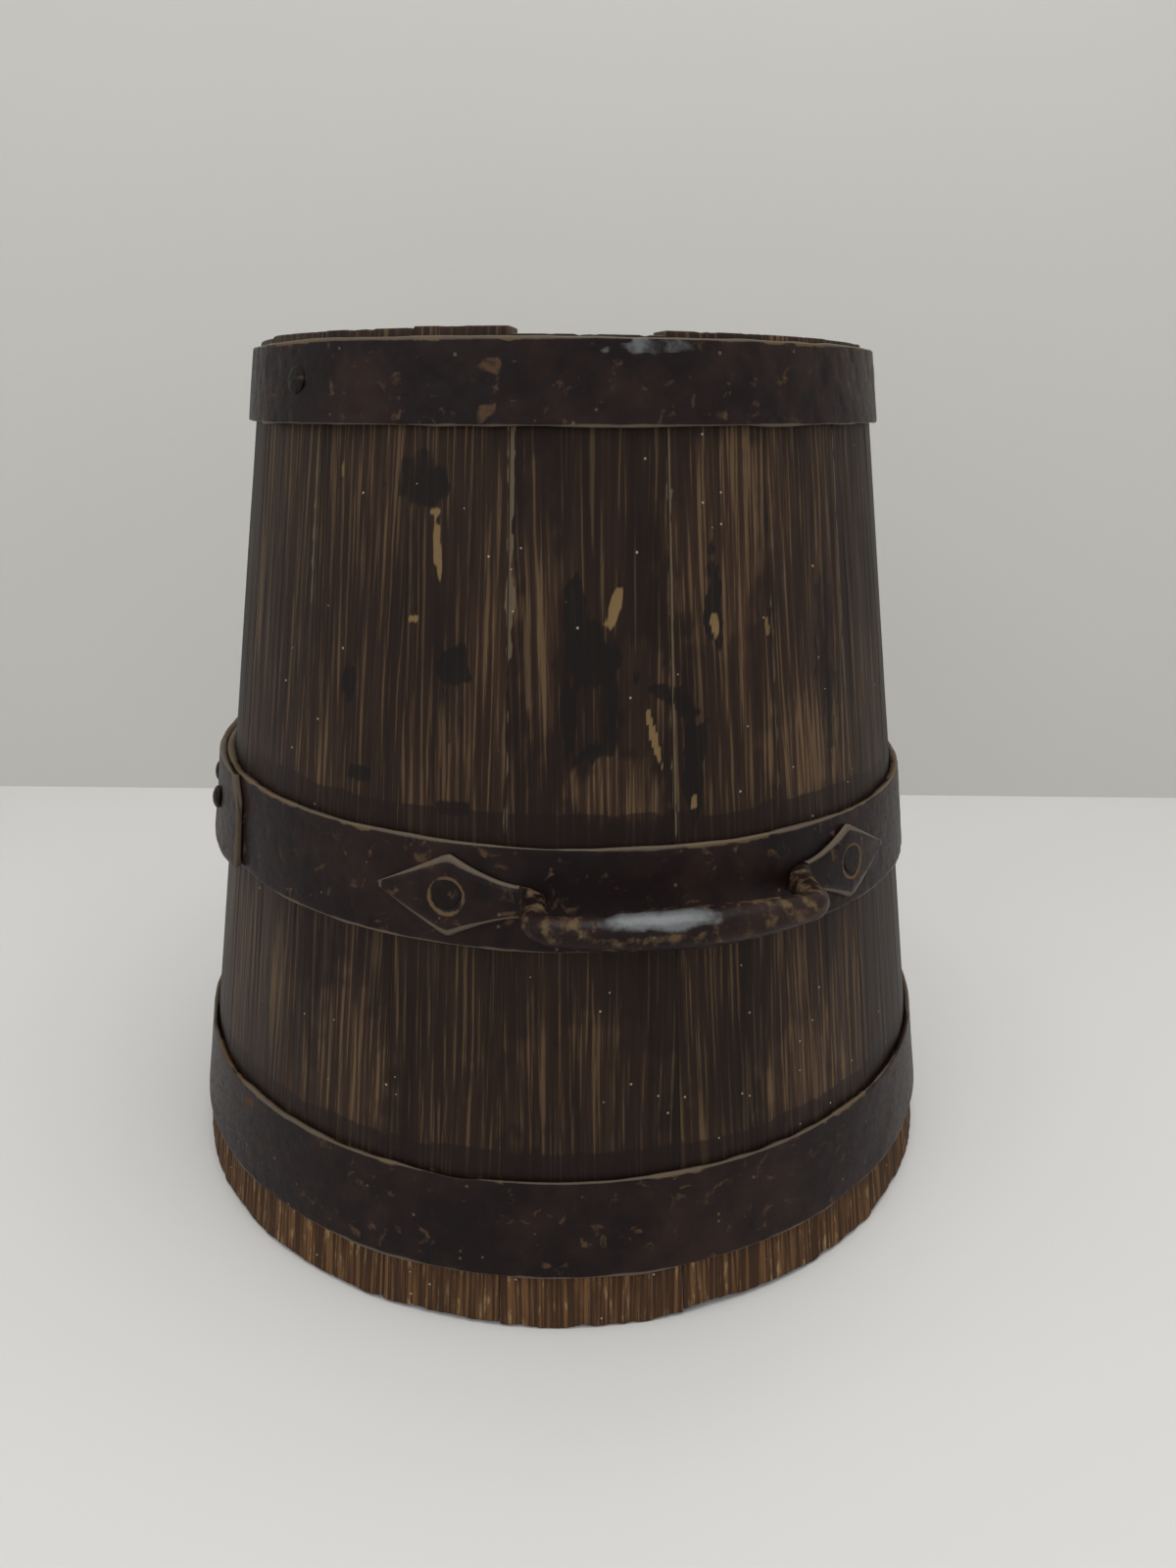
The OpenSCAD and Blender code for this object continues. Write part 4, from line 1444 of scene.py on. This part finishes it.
@dataclass
class Floor:
    """The boarded floor, each board cut from a disc whose edge is bevelled into the groove."""

    play: float = 0.3 * MM
    thick: float = 16 * MM

    def build(self) -> None:
        """Makes the boards, and dresses the dowels between them."""
        finish = PlainWoodFinish(
            "floor_boards",
            dark=srgb(66, 50, 38),
            brown=srgb(98, 78, 58),
            streak=srgb(134, 112, 84),
            spacing=3.4,
        ).build()
        names = sorted(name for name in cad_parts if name.startswith("floor_board_"))
        for number, node in enumerate(names):
            piece = self.board(node, number).piece(f"{node}_planed", [finish])
            settle(piece, node)
        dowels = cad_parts["floor_dowels"]
        dowels.data.materials.clear()
        dowels.data.materials.append(finish)
        LOG.info("floor: %d boards", len(names))

    def board(self, node: str, number: int) -> Mesh:
        """Works out one board.

        The board is a block: across runs over its width, along from one end of its chord to
        the other, and through from its top to its underside, where the chord's length at each
        depth follows the bevel that enters the groove.

        Args:
            node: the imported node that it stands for.
            number: which board it is.

        Returns:
            The closed surface with its grain.
        """
        low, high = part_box(node)
        tip_r = CONE.outer(CONE.croze_z) - CONE.wall + CONE.croze_depth - self.play
        tip_h = CONE.croze_root - self.play
        bevel = (CONE.croze_mouth - CONE.croze_root) / CONE.croze_depth
        net = BlockGrid(round((high.x - low.x) / (2 * MM)), 10, 120)
        i, j, k, quads, _ = net.net
        width = high.x - low.x
        inset = 0.3 * MM * np.exp(-np.minimum(i, net.across - i) * 1.0)
        x = low.x + 0.02 * MM + (width - 0.04 * MM) * i / net.across
        x = np.clip(x, -tip_r + 0.5 * MM, tip_r - 0.5 * MM)
        depth = (j / net.through - 0.5) * self.thick
        radius = np.minimum(tip_r - np.maximum(np.abs(depth) - tip_h, 0) / bevel, tip_r)
        half = np.sqrt(np.maximum(radius**2 - x**2, (1 * MM) ** 2))
        share = 2 * k / net.along - 1
        y = half * np.sin(share * math.pi / 2)
        noise = Unevenness(70 + number)
        top_face = (j == 0) | (j == net.through)
        lift = 0.3 * MM * noise.rough(x / (4 * MM), y / (120 * MM), 2) - 0.2 * MM
        z = CONE.croze_z - depth + np.sign(-depth) * (np.minimum(lift, 0) - inset) * top_face
        points = np.stack([x, y, z], 1)
        grain = np.stack([x + 0.41 * number, y + 0.2 * number, depth], 1)
        return Mesh(points, quads, {"grain": grain})


def settle(piece: bpy.types.Object, node: str) -> None:
    """Has a piece ride on the body and stand for its node, whose imported part it hides."""
    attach(piece, BODY)
    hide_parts(node)


@dataclass(frozen=True)
class Studio:
    """The pale floor and wall, the soft light, and the camera at the photograph's viewing angle."""

    eye: tuple[float, float, float] = (-142.0 * MM, -546.7 * MM, 372.8 * MM)
    heading: float = 15.87
    pitch: float = 19.127
    roll: float = 0.512
    lens: float = 25.04
    wall_away: float = 1050 * MM
    wall_turn: float = 0.2

    def build(self) -> None:
        """Makes the stage, the lamps, the world and the camera."""
        self.camera()
        self.stage()
        self.lights()
        bpy.context.scene.view_settings.view_transform = "Standard"

    def camera(self) -> None:
        """Places the camera by its heading, pitch and roll."""
        data = bpy.data.cameras.new("camera")
        data.lens = self.lens
        data.sensor_width = 36
        data.clip_start = 0.01
        made = bpy.data.objects.new("camera", data)
        bpy.context.scene.collection.objects.link(made)
        turn = Matrix.Rotation(-math.radians(self.heading), 4, "Z")
        tip = Matrix.Rotation(math.pi / 2 - math.radians(self.pitch), 4, "X")
        spin = Matrix.Rotation(math.radians(self.roll), 4, "Z")
        made.matrix_world = Matrix.Translation(Vector(self.eye)) @ turn @ tip @ spin
        bpy.context.scene.camera = made

    def plain(self, name: str, colour: Colour, one_sided: bool) -> bpy.types.Material:
        """A matt material for the stage.

        Args:
            name: the material's name.
            colour: its colour.
            one_sided: whether it is clear when seen from behind.

        Returns:
            The material.
        """
        material, s, skin = start_material(name)
        cloud = s.noise(s.place(), 2.0, 2.0)
        darker = tuple(0.94 * c for c in colour[:3]) + (1.0,)
        s.fill(skin.inputs["Base Color"], s.mix(cloud, darker, colour))
        skin.inputs["Roughness"].default_value = 0.6
        if one_sided:
            back = s.tree.nodes.new("ShaderNodeNewGeometry").outputs["Backfacing"]
            clear = s.tree.nodes.new("ShaderNodeBsdfTransparent").outputs[0]
            mixed = s.node("ShaderNodeMixShader", i0=back, i1=skin.outputs[0], i2=clear)
            s.fill(s.tree.nodes["Material Output"].inputs["Surface"], mixed.outputs[0])
        return material

    def stage(self) -> None:
        """Lays the floor, and stands the wall behind the tub, square to the view."""
        turn = math.radians(self.heading + self.wall_turn)
        along = np.array([math.sin(turn), math.cos(turn), 0.0])
        right = np.array([math.cos(turn), -math.sin(turn), 0.0])
        base = np.array([self.eye[0], self.eye[1], 0.0]) + self.wall_away * along
        size = 3.0
        floor = np.array([[-size, -size, 0], [size, -size, 0], [size, size, 0], [-size, size, 0]])
        up = np.array([0, 0, 2.2])
        left_end, right_end = base - size * right, base + size * right
        wall = np.stack([left_end, right_end, right_end + up, left_end + up])
        for name, corners, colour, one_sided in (
            ("studio_floor", floor, srgb(214, 212, 208), False),
            ("studio_wall", wall, srgb(200, 198, 192), True),
        ):
            mesh = Mesh(corners, np.array([[0, 1, 2, 3]]))
            mesh.piece(name, [self.plain(name, colour, one_sided)])

    def lamp(self, name: str, place: tuple[float, float, float], size: float, power: float) -> None:
        """Hangs a soft square lamp that faces the tub's middle."""
        data = bpy.data.lights.new(name, "AREA")
        data.size = size
        data.energy = power
        made = bpy.data.objects.new(name, data)
        bpy.context.scene.collection.objects.link(made)
        made.location = place
        made.rotation_euler = (Vector((0, 0, 0.2)) - Vector(place)).to_track_quat("-Z", "Y").to_euler()

    def lights(self) -> None:
        """Hangs two soft lamps over the tub in an evenly bright room."""
        world = bpy.data.worlds.new("room")
        world.use_nodes = True
        world.node_tree.nodes["Background"].inputs["Color"].default_value = (0.95, 0.97, 1.0, 1.0)
        world.node_tree.nodes["Background"].inputs["Strength"].default_value = 0.78
        bpy.context.scene.world = world
        self.lamp("ceiling_lamp", (0.1, -0.35, 1.9), 1.4, 17)
        self.lamp("side_lamp", (-1.3, -0.9, 1.3), 1.0, 3)


def main() -> None:
    """Builds the stage and every piece of the measure, in order."""
    logging.basicConfig(level=logging.INFO, format="%(name)s: %(message)s")
    Studio().build()
    Staves().build()
    Floor().build()
    hoop_iron = IronFinish("hoop_patina").build()
    for shape in HOOPS.values():
        Hoop(shape).build(hoop_iron)
    handle_iron = IronFinish("handle_patina", rust_level=0.6, gloss=0.36).build()
    Handle("front_handle", 0.0, 31).build(handle_iron)
    Handle("rear_handle", 180.0, 32).build(handle_iron)
    rivet_iron = IronFinish("rivet_patina", black=srgb(20, 13, 13), brown=srgb(34, 23, 21)).build()
    Rivets("top_hoop_rivet", 3 * MM, 5.5 * MM, 1.4 * MM, False, 41).build(rivet_iron)
    Rivets("middle_hoop_rivets", 3 * MM, 5.5 * MM, 2.8 * MM, False, 42).build(rivet_iron)
    Rivets("bottom_hoop_rivets", 3 * MM, 5.5 * MM, 2.8 * MM, False, 44).build(rivet_iron)
    Rivets("front_handle_rivets", 5 * MM, 6.3 * MM, 1.8 * MM, True, 46).build(rivet_iron)
    Rivets("rear_handle_rivets", 5 * MM, 6.3 * MM, 1.8 * MM, True, 48).build(rivet_iron)


if __name__ == "__main__":
    main()
